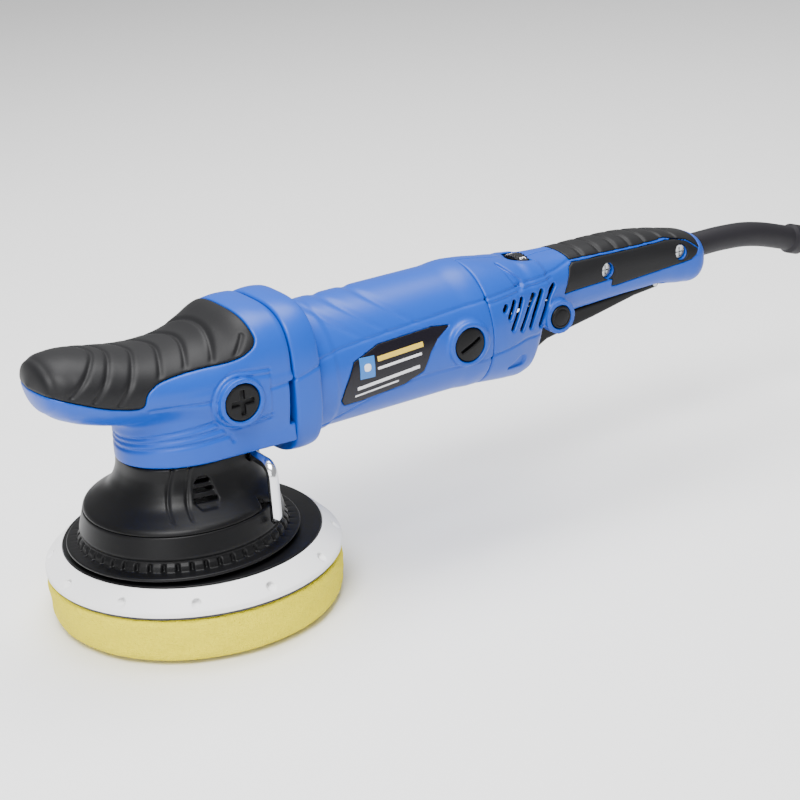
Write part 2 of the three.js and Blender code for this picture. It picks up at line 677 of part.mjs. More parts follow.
// The shroud's outer form, drawn inside by a distance: superellipse sections joined down Z.
function shroudForm(inset) {
  const low = skirtTop + gap;
  const last = shroudSteps.length - 1;
  const surface = (u, v, target) => {
    const step = Math.min(Math.max(Math.round(v * (last + 2)) - 1, 0), last);
    const [down, out] = shroudSteps[step];
    const reach = v === 0 || v === 1 ? 0 : 1;
    const spread = (top, bottom) => top + (bottom - top) * out;
    const front = spread(1.6 - columnFront, -skirtRadius);
    const rear = spread(headRear - 9, skirtRadius);
    const half = spread(columnHalf - 2.2, skirtRadius);
    const power = spread(2.4, 2);
    const angle = -u * 2 * Math.PI;
    const round = (value) => Math.sign(value) * Math.abs(value) ** (2 / power);
    const x = (front + rear) / 2 + reach * round(Math.cos(angle)) * ((rear - front) / 2 - inset);
    target.set(x, reach * round(Math.sin(angle)) * (half - inset), shroudTop + (low - shroudTop) * down);
  };
  return solid(new ParametricGeometry(surface, 24, last + 2));
}

function makeShroud() {
  const keyHeight = motorHeight - keyDrop;
  const recess = (grow) =>
    block(keyX - 5 - grow, far, -far, keyY + 9 + grow, skirtTop - 5, keyHeight - 7 + grow);
  const neckTop = shroudForm(wall).intersect(block(-far, far, -far, far, shroudTop - 4, shroudTop + 1));
  const inside = join(shroudForm(wall).translate([0, 0, -0.5]), neckTop.translate([0, 0, 1]));
  const inner = cut(inside, recess(wall));
  const keyHole = alongY(rod(keySize / 2 + 1, -far, -15, 12), keyX, keyHeight);
  const vents = [0, 1, 2].map((i) => {
    const z = skirtTop + 10.9 + i * 3.2;
    return block(2, 9, -40, -26, z, z + 1.6);
  });
  piece("shroud", cut(shroudForm(0), recess(0), inner, keyHole, ...vents), "black");
  const skirt = [
    [skirtRadius - wall, skirtTop], [skirtRadius - 0.4, skirtBottom + 4], [skirtRadius, skirtBottom],
    [flangeRadius, skirtBottom], [flangeRadius, skirtBottom + 1.6], [skirtRadius + 4.3, skirtBottom + 2.2],
    [skirtRadius + 3.8, skirtBottom + 4.6], [skirtRadius + 2, skirtBottom + 6.6],
    [skirtRadius + 2.7, skirtBottom + 8.4], [skirtRadius, skirtTop], [skirtRadius - wall, skirtTop],
  ];
  piece("skirt_ring", turned(skirt, 36), "black");
}
makeShroud();

// ---- stored hex key: short leg in the gear case's side, long arm hanging beside the shroud ----
function makeKey() {
  const corners = [0, 1, 2, 3, 4, 5].map((i) => {
    const angle = (Math.PI / 3) * i;
    return [(keySize / Math.sqrt(3)) * Math.cos(angle), (keySize / Math.sqrt(3)) * Math.sin(angle)];
  });
  const at = (y, z) => new THREE.Vector3(keyX, y, z);
  const route = new THREE.CurvePath();
  const [legEnd, armStart] = [at(keyY + keyBend, -keyDrop), at(keyY, -keyDrop - keyBend)];
  route.add(new THREE.LineCurve3(at(keyY + keyLeg, -keyDrop), legEnd));
  route.add(new THREE.QuadraticBezierCurve3(legEnd, at(keyY, -keyDrop), armStart));
  route.add(new THREE.LineCurve3(armStart, at(keyY, -keyDrop - keyArm)));
  const sweep = { extrudePath: route, steps: 16, bevelEnabled: false };
  piece("hex_key", solid(new THREE.ExtrudeGeometry(outlineOf(corners), sweep)), "bright", machine);
}
makeKey();

// ---- collar and motor housing ----
const labelOutline = [[12.4, -10.9], [15.9, -16.4], [60, -11.7], [67.9, 5.3], [82.4, 13.9], [23.4, 11.7]]
  .map(([x, z]) => [housingFront + x, z]);

function makeHousing() {
  const front = headRear + gap;
  const round = 1.1; // how far the collar's ends are rounded in
  const collar = loft([
    [front, collarBottom + 0.6, collarTop - 0.6, collarHalf - 0.4, 3],
    [front + 2, collarBottom, collarTop, collarHalf, 3],
    [collarRear - 2, collarBottom, collarTop - 0.2, collarHalf - 0.1, 3],
    [collarRear, collarBottom + round, collarTop - 1.4, collarHalf - round, 3],
  ]);
  const motorHole = alongX(rod(housingBore - 1.2, front - 1, collarRear + 1, 32));
  piece("gear_collar", cut(collar, motorHole), "blue", machine);
  const baffle = cut(
    tube(14, housingBore - gap, housingFront + 1, housingFront + 9, 20),
    tube(17, housingBore - 3, housingFront + 3, housingFront + 10, 20),
  );
  piece("air_baffle", baffle, "black", motor);
  const shell = turned([
    [housingBore, housingFront], [housingRimRadius, housingFront], [housingRimRadius, housingFront + 9],
    [housingRadius, housingFront + 13], [housingRadius, housingRear - 16],
    [housingRimRadius, housingRear - 4], [housingRimRadius, housingRear],
    [housingBore, housingRear], [housingBore, housingFront],
  ], 28);
  const seat = tube(rearBearingRadius + 0.2, rearBearingRadius + 3, rearBearing + 0.5, housingRear, 24);
  const arms = [45, 135, 225, 315].map((turn) =>
    block(rearBearingRadius + 2, housingBore + 1, -3, 3, housingRear - 4, housingRear).rotate([0, 0, turn]));
  const across = (radius, reach, hidden) =>
    alongY(cut(rod(radius, -reach, reach, 28), rod(radius + 1, -hidden, hidden, 28)), brushX, 0);
  const boss = across(brushCapRadius + 3, bossProud, housingBore - 1.2);
  const capHoles = across(brushCapRadius + gap, far, capSeat);
  const holderHalfX = brushWidth / 2 + holderWall + gap;
  const holderHalfZ = brushHeight / 2 + holderWall + gap;
  const holderHole = block(-holderHalfX, holderHalfX, -far, far, -holderHalfZ, holderHalfZ)
    .translate([brushX, 0, 0]);
  const skin = (inner, outer) => alongX(tube(inner, outer, housingFront + 5, housingRear - 15, 30));
  const labelFloor = housingRadius - labelThickness;
  const labelPocket = skin(labelFloor - 0.1, housingRadius + 2).intersect(sidePrism(labelOutline, -far, 0));
  const housing = cut(join(alongX(join(shell, seat, ...arms)), boss), holderHole, capHoles, labelPocket);
  piece("motor_housing", housing, "blue", machine);
  const label = skin(labelFloor + 0.2, housingRadius + 0.2);
  const labelEdge = sidePrism(insetOutline(labelOutline, gap), -far, 0);
  piece("label_plate", label.intersect(labelEdge), "black", machine);
}
makeHousing();

// ---- brush gear, the same on each side: brass holder, carbon brush, spring and screw cap ----
function makeBrushGear(name, side) {
  const start = commutatorRadius + gap;
  const end = start + brushLength;
  const capInner = capSeat + 0.2;
  const [halfX, halfZ] = [brushWidth / 2, brushHeight / 2];
  const place = (body) => (side < 0 ? body.mirror([0, 1, 0]) : body).translate([brushX, 0, 0]);
  const slide = (grow, y0, y1) => block(-halfX - grow, halfX + grow, y0, y1, -halfZ - grow, halfZ + grow);
  const holder = cut(slide(holderWall, start + 1.5, capInner - gap), slide(0.2, 0, far));
  piece(name + "_brush_holder", place(holder), "brass", machine);
  const worn = alongX(rod(commutatorRadius + gap, -9, 9, 30));
  piece(name + "_carbon_brush", place(cut(slide(0, start, end), worn)), "carbon", machine);
  const pointsPerTurn = 6;
  const steps = springTurns * pointsPerTurn;
  const points = [];
  for (let i = 0; i <= steps; i++) {
    const angle = (2 * Math.PI * i) / pointsPerTurn;
    const y = end + 0.8 + ((capInner - end - 1.8) * i) / steps;
    points.push(new THREE.Vector3(springRadius * Math.cos(angle), y, springRadius * Math.sin(angle)));
  }
  const helix = new THREE.ExtrudeGeometry(circleOf(0.4), {
    extrudePath: new THREE.CatmullRomCurve3(points), steps, curveSegments: 2, bevelEnabled: false,
  });
  piece(name + "_brush_spring", place(solid(helix)), "steel", machine);
  const capFace = bossProud + 0.3;
  const cap = cut(
    rod(brushCapRadius, capInner, capFace, 24),
    block(-6, 6, -0.9, 0.9, capFace - 1.7, capFace + 1),
  ).rotate([-90, 0, 0]);
  piece(name + "_brush_cap", place(cap), "black", machine);
}
makeBrushGear("left", -1);
makeBrushGear("right", 1);

// ---- rear handle: a round belly that narrows into the grip, split on the tool's middle plane ----
const bellyRadius = housingRimRadius - 0.4;
const belly = [
  [0, -bellyRadius, bellyRadius, bellyRadius, 2.1],
  [9.4, -bellyRadius - 0.8, bellyRadius - 1.2, bellyRadius - 0.9, 2.2],
  [19.4, -35.3, 30.9, 30.6, 2.4], [29.4, -35.1, 29.3, 27, 2.6], [34.4, -32.7, 28.3, 25.4, 2.6],
  [37.4, -26.7, 27.7, 24.4, 2.6], [39.9, -18.7, 27.3, 23.7, 2.6], [43.4, -10.7, 26.9, 23, 2.6],
];
const gripForm = [
  [33.4, -13.7, 28.5, 25, 2.6], [47.4, -11.2, 26.7, 22.4, 2.5], [61.4, -9.7, 26.1, 20, 2.5],
  [85.4, -9.1, 26.1, 18.2, 2.6], [111.4, -8.7, 25.3, 17.8, 2.6], [133.4, -8.7, 22.1, 17.8, 2.6],
  [145.4, -10.5, 19.5, 17.8, 2.6], [154.4, -10.7, 17.3, 17.4, 2.6], [160.4, -7.1, 15.3, 15.4, 2.4],
];
const triggerOutline = [
  [40.9, -11.7], [40.9, -20.7], [43.4, -23.1], [50.4, -19.7], [81.4, -14.7], [111.4, -9.1], [127.4, -7.7],
  [triggerPivotX + 4.5, triggerPivotHeight], [triggerPivotX + 2, triggerPivotHeight + 3],
  [117.4, -4.3], [53.4, -7.4], [43.9, -9.8],
];
const topInlay = [[58.4, 39.3], [65.4, 22.5], [132.4, 19.9], [147.4, 15.9], [154.4, 10.3], [156.4, 39.3]];
const sideInlay = [
  [56, 7], [91, 7], [90.4, 3], [93.9, 2.7], [147.4, 5.5], [149.8, 8.9], [144.9, 15.5],
  [132, 18.9], [66, 21.3], [62.6, 19.9],
];
const handleScrews = { front_handle_screw: [88.4, 11.9], rear_handle_screw: [140.8, 10.9] };
const bootRoute = [
  [149.4, 6.1], [161.4, 6.1], [185.4, 5.9], [201.4, 4.5], [215.4, 1.5], [227.4, -2.2], [242.4, -7.3],
];
const bootHeight = bootRoute[0][1];
const handleSides = 18;
const handleRear = gripForm[gripForm.length - 1][0];

function makeHandle() {
  const grip = loft(gripForm, 0, handleSides);
  const trim = (stations, grow) => stations.map(([x, ...rest], i) => {
    const shift = i === 0 ? grow : i === stations.length - 1 ? -handleWall : 0;
    return [x + shift, ...rest];
  });
  const hollow = join(loft(trim(belly, -1), handleWall, 12), loft(trim(gripForm, 0), handleWall, 12));
  const underInlay = loft(gripForm, inlayDepth + gap, handleSides);
  const pockets = [sideInlay, topInlay].map((outline) => cut(sidePrism(outline), underInlay));
  const room = triggerHalf + runGap;
  const paddle = sidePrism(insetOutline(triggerOutline, -runGap), -room, room)
    .translate([-triggerPivotX, 0, -triggerPivotHeight]);
  const swept = [-runGap, triggerSwing / 2, triggerSwing + runGap].map((turn) =>
    paddle.rotate([0, turn, 0]).translate([triggerPivotX, 0, triggerPivotHeight]));
  const dialSlot = rod(dialRadius + runGap, -dialWidth / 2 - runGap, dialWidth / 2 + runGap, 28)
    .rotate([0, 90, 0]).translate([dialX, 0, dialHeight]);
  const lockBoss = alongY(rod(lockRadius + 3, 1.2 - lockFace, -20.4, 24), lockX, lockHeight);
  const lockBore = join(
    rod(lockRadius + gap, -far, -17, 20),
    rod(lockRadius + lockLip + gap, -19.5, -12, 20),
  );
  const lockHole = alongY(lockBore, lockX, lockHeight);
  const places = Object.values(handleScrews);
  const core = loft(gripForm, 1, handleSides);
  const liner = rod(screwRecessRadius + 1.2, -16, 16, 10);
  const liners = places.map(([x, z]) => alongY(liner, x, z).intersect(core));
  const screwBore = join(rod(handleScrewRadius + gap, -15, 13, 10), rod(screwRecessRadius, -40, -12, 12));
  const screwHoles = places.map(([x, z]) => alongY(screwBore, x, z));
  const bootHole = alongX(rod(bootRadius + gap, handleRear - 5, handleRear + 9, 20), bootHeight);
  const whole = cut(
    join(cut(join(loft(belly, 0, handleSides), grip), hollow), ...liners, cut(lockBoss, hollow)),
    ...pockets, ...swept, dialSlot, lockHole, ...screwHoles, bootHole,
  );
  const rightSide = block(-1, handleRear + 20, gap / 2, far, -far, far);
  const leftSide = rightSide.mirror([0, 1, 0]);
  piece("right_handle_half", whole.intersect(rightSide), "blue", handle);
  piece("left_handle_half", whole.intersect(leftSide), "blue", handle);

  const skin = cut(grip, loft(gripForm, inlayDepth, handleSides));
  const headHoles = places.map(([x, z]) => alongY(rod(screwRecessRadius, -40, -5, 12), x, z));
  const sidePatch = skin.intersect(sidePrism(insetOutline(sideInlay, gap)));
  piece("left_side_inlay", cut(sidePatch.intersect(leftSide), ...headHoles), "rubber", handle);
  piece("right_side_inlay", sidePatch.intersect(rightSide), "rubber", handle);
  piece("top_inlay", skin.intersect(sidePrism(insetOutline(topInlay, gap))), "rubber", handle);
  const [slotReach, slotHalf] = [2.6, 0.5];
  for (const [name, [x, z]] of Object.entries(handleScrews)) {
    const screw = cut(
      join(rod(screwRecessRadius - 0.6, -14.8, -12.2, 12), rod(handleScrewRadius, -13, 12, 10)),
      block(-slotReach, slotReach, -slotHalf, slotHalf, -16, -13.8),
      block(-slotHalf, slotHalf, -slotReach, slotReach, -16, -13.8),
    );
    piece(name, alongY(screw, x, z), "steel", handle);
  }
}
makeHandle();

// ---- controls and wiring parts inside the handle ----
function makeControls() {
  const pivot = frameIn(handle, triggerPivotX, 0, triggerPivotHeight);
  const paddle = sidePrism(triggerOutline, -triggerHalf, triggerHalf)
    .translate([-triggerPivotX, 0, -triggerPivotHeight]);
  piece("trigger", cut(paddle, rod(triggerPinRadius + 0.1, -20, 20, 12).rotate([90, 0, 0])), "black", pivot);
  const pinReach = triggerHalf + 0.4;
  piece("trigger_pin", rod(triggerPinRadius, -pinReach, pinReach, 12).rotate([90, 0, 0]), "steel", pivot);
  piece("switch_body", block(52.4, 81.4, -8, 8, 1.3, 20.3), "black", handle);
  const button = join(rod(lockRadius, -lockFace, -17, 24), rod(lockRadius + lockLip, -19.2, -17.6, 24));
  piece("lock_button", alongY(button, lockX, lockHeight), "black", handle);
  const dial = frameIn(handle, dialX, 0, dialHeight);
  dial.rotation.y = Math.PI / 2;
  const ribs = [];
  for (let i = 0; i < dialRibs; i++) {
    const rib = block(dialRadius - 0.9, dialRadius + 1, -0.7, 0.7, -dialWidth, dialWidth);
    ribs.push(rib.rotate([0, 0, (360 * i) / dialRibs]));
  }
  const halfDial = dialWidth / 2;
  piece("speed_dial", cut(tube(dialBore, dialRadius, -halfDial, halfDial, 28), ...ribs), "black", dial);
  const boardX = halfDial + 2;
  const axle = rod(dialBore - gap, -halfDial, boardX + 0.5, 16);
  const board = join(axle, block(-8, 14, -13, 13, boardX, boardX + 1.6));
  piece("control_board", board, "board", dial);
  const clampTop = bootHeight + 7;
  const clampX = 121.4;
  const channel = alongX(rod(5, clampX - 2, clampX + 10, 16), bootHeight + 1);
  const bar = block(clampX, clampX + 8, -10, 10, clampTop - 5, clampTop);
  piece("cord_clamp", cut(bar, channel), "black", handle);
}
makeControls();

// ---- cord boot: a drooping rubber sleeve, with a flange inside the handle and a collar at its end ----
function makeBoot() {
  const along = new THREE.CatmullRomCurve3(bootRoute.map(([x, z]) => new THREE.Vector3(x, 0, z)));
  const sweep = (radius) => solid(new THREE.ExtrudeGeometry(circleOf(radius), {
    extrudePath: along, steps: 9, curveSegments: 5, bevelEnabled: false,
  }));
  const end = along.getPointAt(1);
  const heading = along.getTangentAt(1);
  const drop = THREE.MathUtils.radToDeg(Math.atan2(-heading.z, heading.x));
  const atEnd = (body) => body.rotate([0, 90 + drop, 0]).translate([end.x, 0, end.z]);
  const flange = alongX(rod(bootFlangeRadius, handleRear - 10, handleRear - 6.5, 20), bootHeight);
  const inlet = alongX(rod(bootBore, handleRear - 13, handleRear + 1, 16), bootHeight);
  const boot = join(sweep(bootRadius), atEnd(rod(bootCollarRadius, -6, 1, 16)), flange);
  piece("cord_boot", cut(boot, sweep(bootBore), atEnd(rod(bootBore, -8, 3, 16)), inlet), "rubber", handle);
}
makeBoot();

export default group;
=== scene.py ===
"""Dual action polisher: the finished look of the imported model, in metres in the model's own frame.

Shapes are worked out in millimetres. A height h is measured up from the motor's axis, a height z from
the floor, and a handle place from the handle's front. Moulded shells are forms: formulas of a point's
place that are negative inside the piece, zero on its surface and positive outside, and near to the
distance from it.
"""

import json
import math

import bpy
import numpy as np
from mathutils import Matrix, Vector


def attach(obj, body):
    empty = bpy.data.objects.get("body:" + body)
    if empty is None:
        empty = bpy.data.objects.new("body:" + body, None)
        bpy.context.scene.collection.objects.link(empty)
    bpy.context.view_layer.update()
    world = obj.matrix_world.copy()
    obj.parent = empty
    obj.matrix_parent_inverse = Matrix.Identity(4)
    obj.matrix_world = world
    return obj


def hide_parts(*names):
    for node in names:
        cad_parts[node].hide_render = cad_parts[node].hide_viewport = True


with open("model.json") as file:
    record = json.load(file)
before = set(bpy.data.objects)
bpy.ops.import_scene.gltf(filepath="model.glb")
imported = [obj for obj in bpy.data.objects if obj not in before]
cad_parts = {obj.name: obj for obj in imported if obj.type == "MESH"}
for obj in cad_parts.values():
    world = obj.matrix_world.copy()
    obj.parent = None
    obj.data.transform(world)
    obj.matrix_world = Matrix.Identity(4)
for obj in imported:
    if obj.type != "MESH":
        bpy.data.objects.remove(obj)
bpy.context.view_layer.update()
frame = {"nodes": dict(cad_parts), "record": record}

MM = 0.001
AXIS = 110.7  # height of the motor's axis above the floor
HANDLE = 170.6  # where the handle begins behind the spindle
PAD_X, PAD_Y = 6.495, 3.75  # the pad's own axis
HEAD_REAR = 50.0
HOUSING = (65.6, 170.3)  # the motor housing's front and rear
BARREL = 33.4  # the motor barrel's radius
BRUSH_X = 154.5
WALL = 2.6
FAR = 200.0  # past the end of anything here
CORNER_CUT = 0.22  # the share of a side that easing takes off each end


# ---- helpers for forms ----
def soft_max(a, b, k):
    """The larger of two distances, rounded over a width k where they are nearly equal."""
    h = np.maximum(k - np.abs(a - b), 0) / k
    return np.maximum(a, b) + h * h * k / 4


def soft_min(a, b, k):
    """The smaller of two distances, with a fillet of width k."""
    return -soft_max(-a, -b, k)


def smooth_step(t):
    """0 below 0, 1 above 1, and an even S between them."""
    t = np.clip(t, 0, 1)
    return t * t * (3 - 2 * t)


def along(stations, x):
    """Values between stations on a smooth curve: cubic between each two, with the mean slope at each."""
    table = np.asarray(stations, float)
    knots, values = table[:, 0], table[:, 1:]
    slopes = np.gradient(values, knots, axis=0)
    i = np.clip(np.searchsorted(knots, x) - 1, 0, len(knots) - 2)
    step = knots[i + 1] - knots[i]
    t = np.clip((x - knots[i]) / step, 0, 1)
    ahead = 3 * t**2 - 2 * t**3
    rise, settle = (t**3 - 2 * t**2 + t) * step, (t**3 - t**2) * step
    out = []
    for c in range(values.shape[1]):
        v, s = values[:, c], slopes[:, c]
        out.append(v[i] * (1 - ahead) + v[i + 1] * ahead + s[i] * rise + s[i + 1] * settle)
    return out


def ring_reach(u_half, v_half, power, u, v):
    """Distance past a superellipse's edge, along the ray from its centre."""
    q = ((np.abs(u) / u_half) ** power + (np.abs(v) / v_half) ** power) ** (1 / power)
    reach = np.hypot(u, v)
    return reach - reach / np.maximum(q, 1e-6)


def loft(stations, x, y, h, ends=1.5):
    """A body along X through superellipse sections (x, bottom, top, half width, squareness)."""
    bottom, top, half, power = along(stations, x)
    side = ring_reach(half, (top - bottom) / 2, power, y, h - (bottom + top) / 2)
    return soft_max(side, np.maximum(stations[0][0] - x, x - stations[-1][0]), ends)


def line_distance(points, x, h):
    """Distance in side view to a line through points: the nearest over its straight parts."""
    best = np.full(np.broadcast(x, h).shape, np.inf)
    for (ax, ah), (bx, bh) in zip(points[:-1], points[1:]):
        ex, eh = bx - ax, bh - ah
        t = np.clip(((x - ax) * ex + (h - ah) * eh) / (ex * ex + eh * eh), 0, 1)
        best = np.minimum(best, (x - ax - t * ex) ** 2 + (h - ah - t * eh) ** 2)
    return np.sqrt(best)


def outline_distance(points, x, h):
    """Distance in side view to a closed outline, negative within it.

    A point is within where a level ray from it crosses the outline an odd number of times.
    """
    loop = list(points) + [points[0]]
    within = np.zeros(np.broadcast(x, h).shape, bool)
    for (ax, ah), (bx, bh) in zip(loop[:-1], loop[1:]):
        if ah != bh:
            within ^= ((ah > h) != (bh > h)) & (x < ax + (h - ah) * (bx - ax) / (bh - ah))
    return np.where(within, -1, 1) * line_distance(loop, x, h)


def eased(points, times=1):
    """An outline with its corners cut: each time, a side keeps its middle part between two cuts."""
    p = np.asarray(points, float)
    for _ in range(times):
        after = np.roll(p, -1, axis=0)
        first = (1 - CORNER_CUT) * p + CORNER_CUT * after
        second = CORNER_CUT * p + (1 - CORNER_CUT) * after
        p = np.stack([first, second], 1).reshape(-1, 2)
    return [tuple(q) for q in p]


def groove(f, distance, width=0.75, depth=0.6):
    """A groove: the surface sinks by its depth, less so with distance from the line, as a bell curve."""
    return f + depth * np.exp(-((distance / width) ** 2))


def rod_form(u, v, w, radius, low, high, k=0.8):
    """A round bar of a radius about w, between two ends, with its edges eased."""
    return soft_max(np.hypot(u, v) - radius, np.maximum(low - w, w - high), k)


# ---- meshes ----
def net(rough, fine, low, high, cell, reach=4.5, hollow=False):
    """Mesh of the surface where a form is zero, on a grid of cells.

    Each grid edge with one end inside gives a crossing, placed by the two values in proportion, and a
    four-sided face between the four cells round that edge. A cell's point is the mean of its crossings.
    Then each point steps to the surface: along the form's gradient, by the value divided by the gradient's
    length. The fine form is worked out only within reach of the rough one's surface. Where the piece is
    hollow, everything deeper than that is outside it.
    """
    cell = cell * 1.0
    lines = [np.arange(a - cell, b + 2 * cell, cell) for a, b in zip(low, high)]
    shape = [len(v) for v in lines]
    field = np.array(np.broadcast_to(rough(*np.meshgrid(*lines, indexing="ij", sparse=True)), shape))
    form = fine or rough
    if fine:
        near = np.nonzero(np.abs(field) < reach)
        field[near] = fine(*[line[n] for line, n in zip(lines, near)])
    if hollow:
        field[field <= -reach] = reach
    inside = field < 0
    stride = np.array([shape[1] * shape[2], shape[2], 1])
    rings, crossings = [], []
    for a in range(3):
        b, c = (a + 1) % 3, (a + 2) % 3
        lower = tuple(slice(0, -1) if i == a else slice(None) for i in range(3))
        upper = tuple(slice(1, None) if i == a else slice(None) for i in range(3))
        cross = inside[lower] != inside[upper]
        at = np.argwhere(cross)
        start, end = field[lower][cross], field[upper][cross]
        place = np.array([line[0] for line in lines]) + at * cell
        place[:, a] += cell * start / (start - end)
        code = at @ stride
        ring = np.stack([code, code - stride[b], code - stride[b] - stride[c], code - stride[c]], 1)
        ring[start > 0] = ring[start > 0][:, ::-1]
        rings.append(ring)
        crossings.append(np.repeat(place, 4, axis=0))
    rings = np.concatenate(rings)
    crossings = np.concatenate(crossings)
    _, index = np.unique(rings.ravel(), return_inverse=True)
    index = index.ravel()
    count = np.bincount(index)
    points = np.stack([np.bincount(index, crossings[:, i]) / count for i in range(3)], 1)
    nudge = 0.02
    for _ in range(2):
        value = form(*points.T)
        slope = np.stack([
            (form(*(points + step).T) - form(*(points - step).T)) / (2 * nudge)
            for step in np.eye(3) * nudge
        ], 1)
        move = slope * (value / np.maximum((slope**2).sum(1), 0.05))[:, None]
        length = np.linalg.norm(move, axis=1, keepdims=True)
        points -= move * np.minimum(1, 0.5 * cell / np.maximum(length, 1e-9))
    return points, index.reshape(-1, 4)


def sheet_faces(rows, columns, closed_rows=False):
    """Faces of a grid of points whose columns close on themselves, and whose rows may close too."""
    r = np.arange(rows if closed_rows else rows - 1)[:, None]
    c = np.arange(columns)[None, :]
    r1, c1 = (r + 1) % rows, (c + 1) % columns
    corners = (r * columns + c, r * columns + c1, r1 * columns + c1, r1 * columns + c)
    return np.stack(np.broadcast_arrays(*corners), -1).reshape(-1, 4)


def fine_profile(points, step):
    """A line through points with extra points about every step along it."""
    p = np.asarray(points, float)
    length = np.concatenate([[0], np.cumsum(np.linalg.norm(np.diff(p, axis=0), axis=1))])
    extra = [
        np.linspace(a, b, max(int((b - a) / step), 1), endpoint=False)
        for a, b in zip(length[:-1], length[1:])
    ]
    s = np.append(np.concatenate(extra), length[-1])
    return np.stack([np.interp(s, length, p[:, i]) for i in range(2)], 1)


def rounded(points, radius, parts=4):
    """A closed outline of (radius, height) with each corner made a curve that starts a radius before it."""
    p = np.asarray(points, float)
    out = []
    t = np.linspace(0, 1, parts + 1)[:, None]
    for before, corner, after in zip(np.roll(p, 1, 0), p, np.roll(p, -1, 0)):
        a, b = before - corner, after - corner
        la, lb = np.linalg.norm(a), np.linalg.norm(b)
        start = corner + a / la * min(radius, 0.45 * la)
        end = corner + b / lb * min(radius, 0.45 * lb)
        out.append((1 - t) ** 2 * start + 2 * t * (1 - t) * corner + t**2 * end)
    return np.concatenate(out)


def turned(profile, sides, cx=0.0, cy=0.0, shape=None):
    """A closed profile of (radius, z) turned about an upright axis, which shape may move first."""
    angle = np.arange(sides) * 2 * math.pi / sides
    r = np.repeat(profile[:, :1], sides, axis=1)
    z = np.repeat(profile[:, 1:], sides, axis=1)
    if shape:
        r, z = shape(r, z, angle[None, :])
    points = np.stack([cx + r * np.cos(angle), cy + r * np.sin(angle), z], -1).reshape(-1, 3)
    return points, sheet_faces(len(profile), sides, closed_rows=True)


def swept(route, section, up):
    """A closed section carried along a route, its first side level with respect to up."""
    route = np.asarray(route, float)
    ahead = np.gradient(route, axis=0)
    ahead /= np.linalg.norm(ahead, axis=1, keepdims=True)
    side = np.cross(ahead, up)
    side /= np.linalg.norm(side, axis=1, keepdims=True)
    other = np.cross(side, ahead)
    u, v = section[..., 0:1], section[..., 1:2]
    points = route[:, None] + side[:, None] * u + other[:, None] * v
    return points.reshape(-1, 3), sheet_faces(len(route), section.shape[-2], closed_rows=False)


def capped(points, faces, columns):
    """The two open ends of a carried section closed with a fan of faces to a middle point."""
    rows = len(points) // columns
    grid = points.reshape(rows, columns, 3)
    middle = np.stack([grid[0].mean(0), grid[-1].mean(0)])
    ring = np.arange(columns)
    after = (ring + 1) % columns
    last = (rows - 1) * columns
    front = np.stack([np.full(columns, rows * columns), after, ring, ring], 1)
    rear = np.stack([np.full(columns, rows * columns + 1), last + ring, last + after, last + after], 1)
    return np.concatenate([points, middle]), np.concatenate([faces, front, rear])


def piece(name, shape, finish, body, nodes=(), lift=0.0):
    """A finished mesh: points in millimetres raised by lift, riding on a body, in place of CAD nodes."""
    points, faces = shape
    points = np.asarray(points, float) + (0, 0, lift)
    mesh = bpy.data.meshes.new(name)
    corners = [list(f[:3]) if f[2] == f[3] else list(f) for f in faces.tolist()]
    mesh.from_pydata((points * MM).tolist(), [], corners)
    mesh.polygons.foreach_set("use_smooth", np.ones(len(mesh.polygons), bool))
    mesh.materials.append(finish)
    mesh.update()
    obj = bpy.data.objects.new(name, mesh)
    bpy.context.scene.collection.objects.link(obj)
    volume = signed_volume(points, faces)
    if volume < 0:
        mesh.flip_normals()
    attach(obj, body)
    if nodes:
        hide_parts(*nodes)
    return obj


def signed_volume(points, faces):
    """Volume inside the faces, by pyramids from the origin; it is negative where they are inside out."""
    a, b, c, d = (points[faces[:, i]] for i in range(4))
    return (np.einsum("ij,ij->i", a, np.cross(b, c)) + np.einsum("ij,ij->i", a, np.cross(c, d))).sum() / 6


def mirrored(shape):
    """The same mesh on the other side of the tool's middle plane."""
    points, faces = shape
    return points * (1, -1, 1), faces[:, ::-1]


# ---- shader groups ----
def new_group(name, inputs, output, kind):
    """A node group with float or colour inputs and one output."""
    group = bpy.data.node_groups.new(name, "ShaderNodeTree")
    for label, socket, value in inputs:
        group.interface.new_socket(label, in_out="INPUT", socket_type=socket).default_value = value
    group.interface.new_socket(output, in_out="OUTPUT", socket_type=kind)
    nodes = group.nodes
    return group, nodes, group.links.new, nodes.new("NodeGroupInput"), nodes.new("NodeGroupOutput")


def tone_group():
    """A colour that drifts lighter and darker: it is scaled by 1 plus an amount of slow, centred noise."""
    group, nodes, join, given, result = new_group("tone drift", [
        ("Color", "NodeSocketColor", (0.5, 0.5, 0.5, 1)),
        ("Scale", "NodeSocketFloat", 30.0),
        ("Amount", "NodeSocketFloat", 0.1),
    ], "Color", "NodeSocketColor")
    place = nodes.new("ShaderNodeTexCoord")
    noise = nodes.new("ShaderNodeTexNoise")
    noise.inputs["Detail"].default_value = 4
    span = nodes.new("ShaderNodeMath")
    span.operation = "SUBTRACT"
    span.inputs[1].default_value = 0.5
    grow = nodes.new("ShaderNodeMath")
    grow.operation = "MULTIPLY_ADD"
    grow.inputs[2].default_value = 1.0
    mix = nodes.new("ShaderNodeVectorMath")
    mix.operation = "SCALE"
    join(place.outputs["Object"], noise.inputs["Vector"])
    join(given.outputs["Scale"], noise.inputs["Scale"])
    join(noise.outputs["Fac"], span.inputs[0])
    join(span.outputs[0], grow.inputs[0])
    join(given.outputs["Amount"], grow.inputs[1])
    join(given.outputs["Color"], mix.inputs[0])
    join(grow.outputs[0], mix.inputs["Scale"])
    join(mix.outputs[0], result.inputs["Color"])
    return group


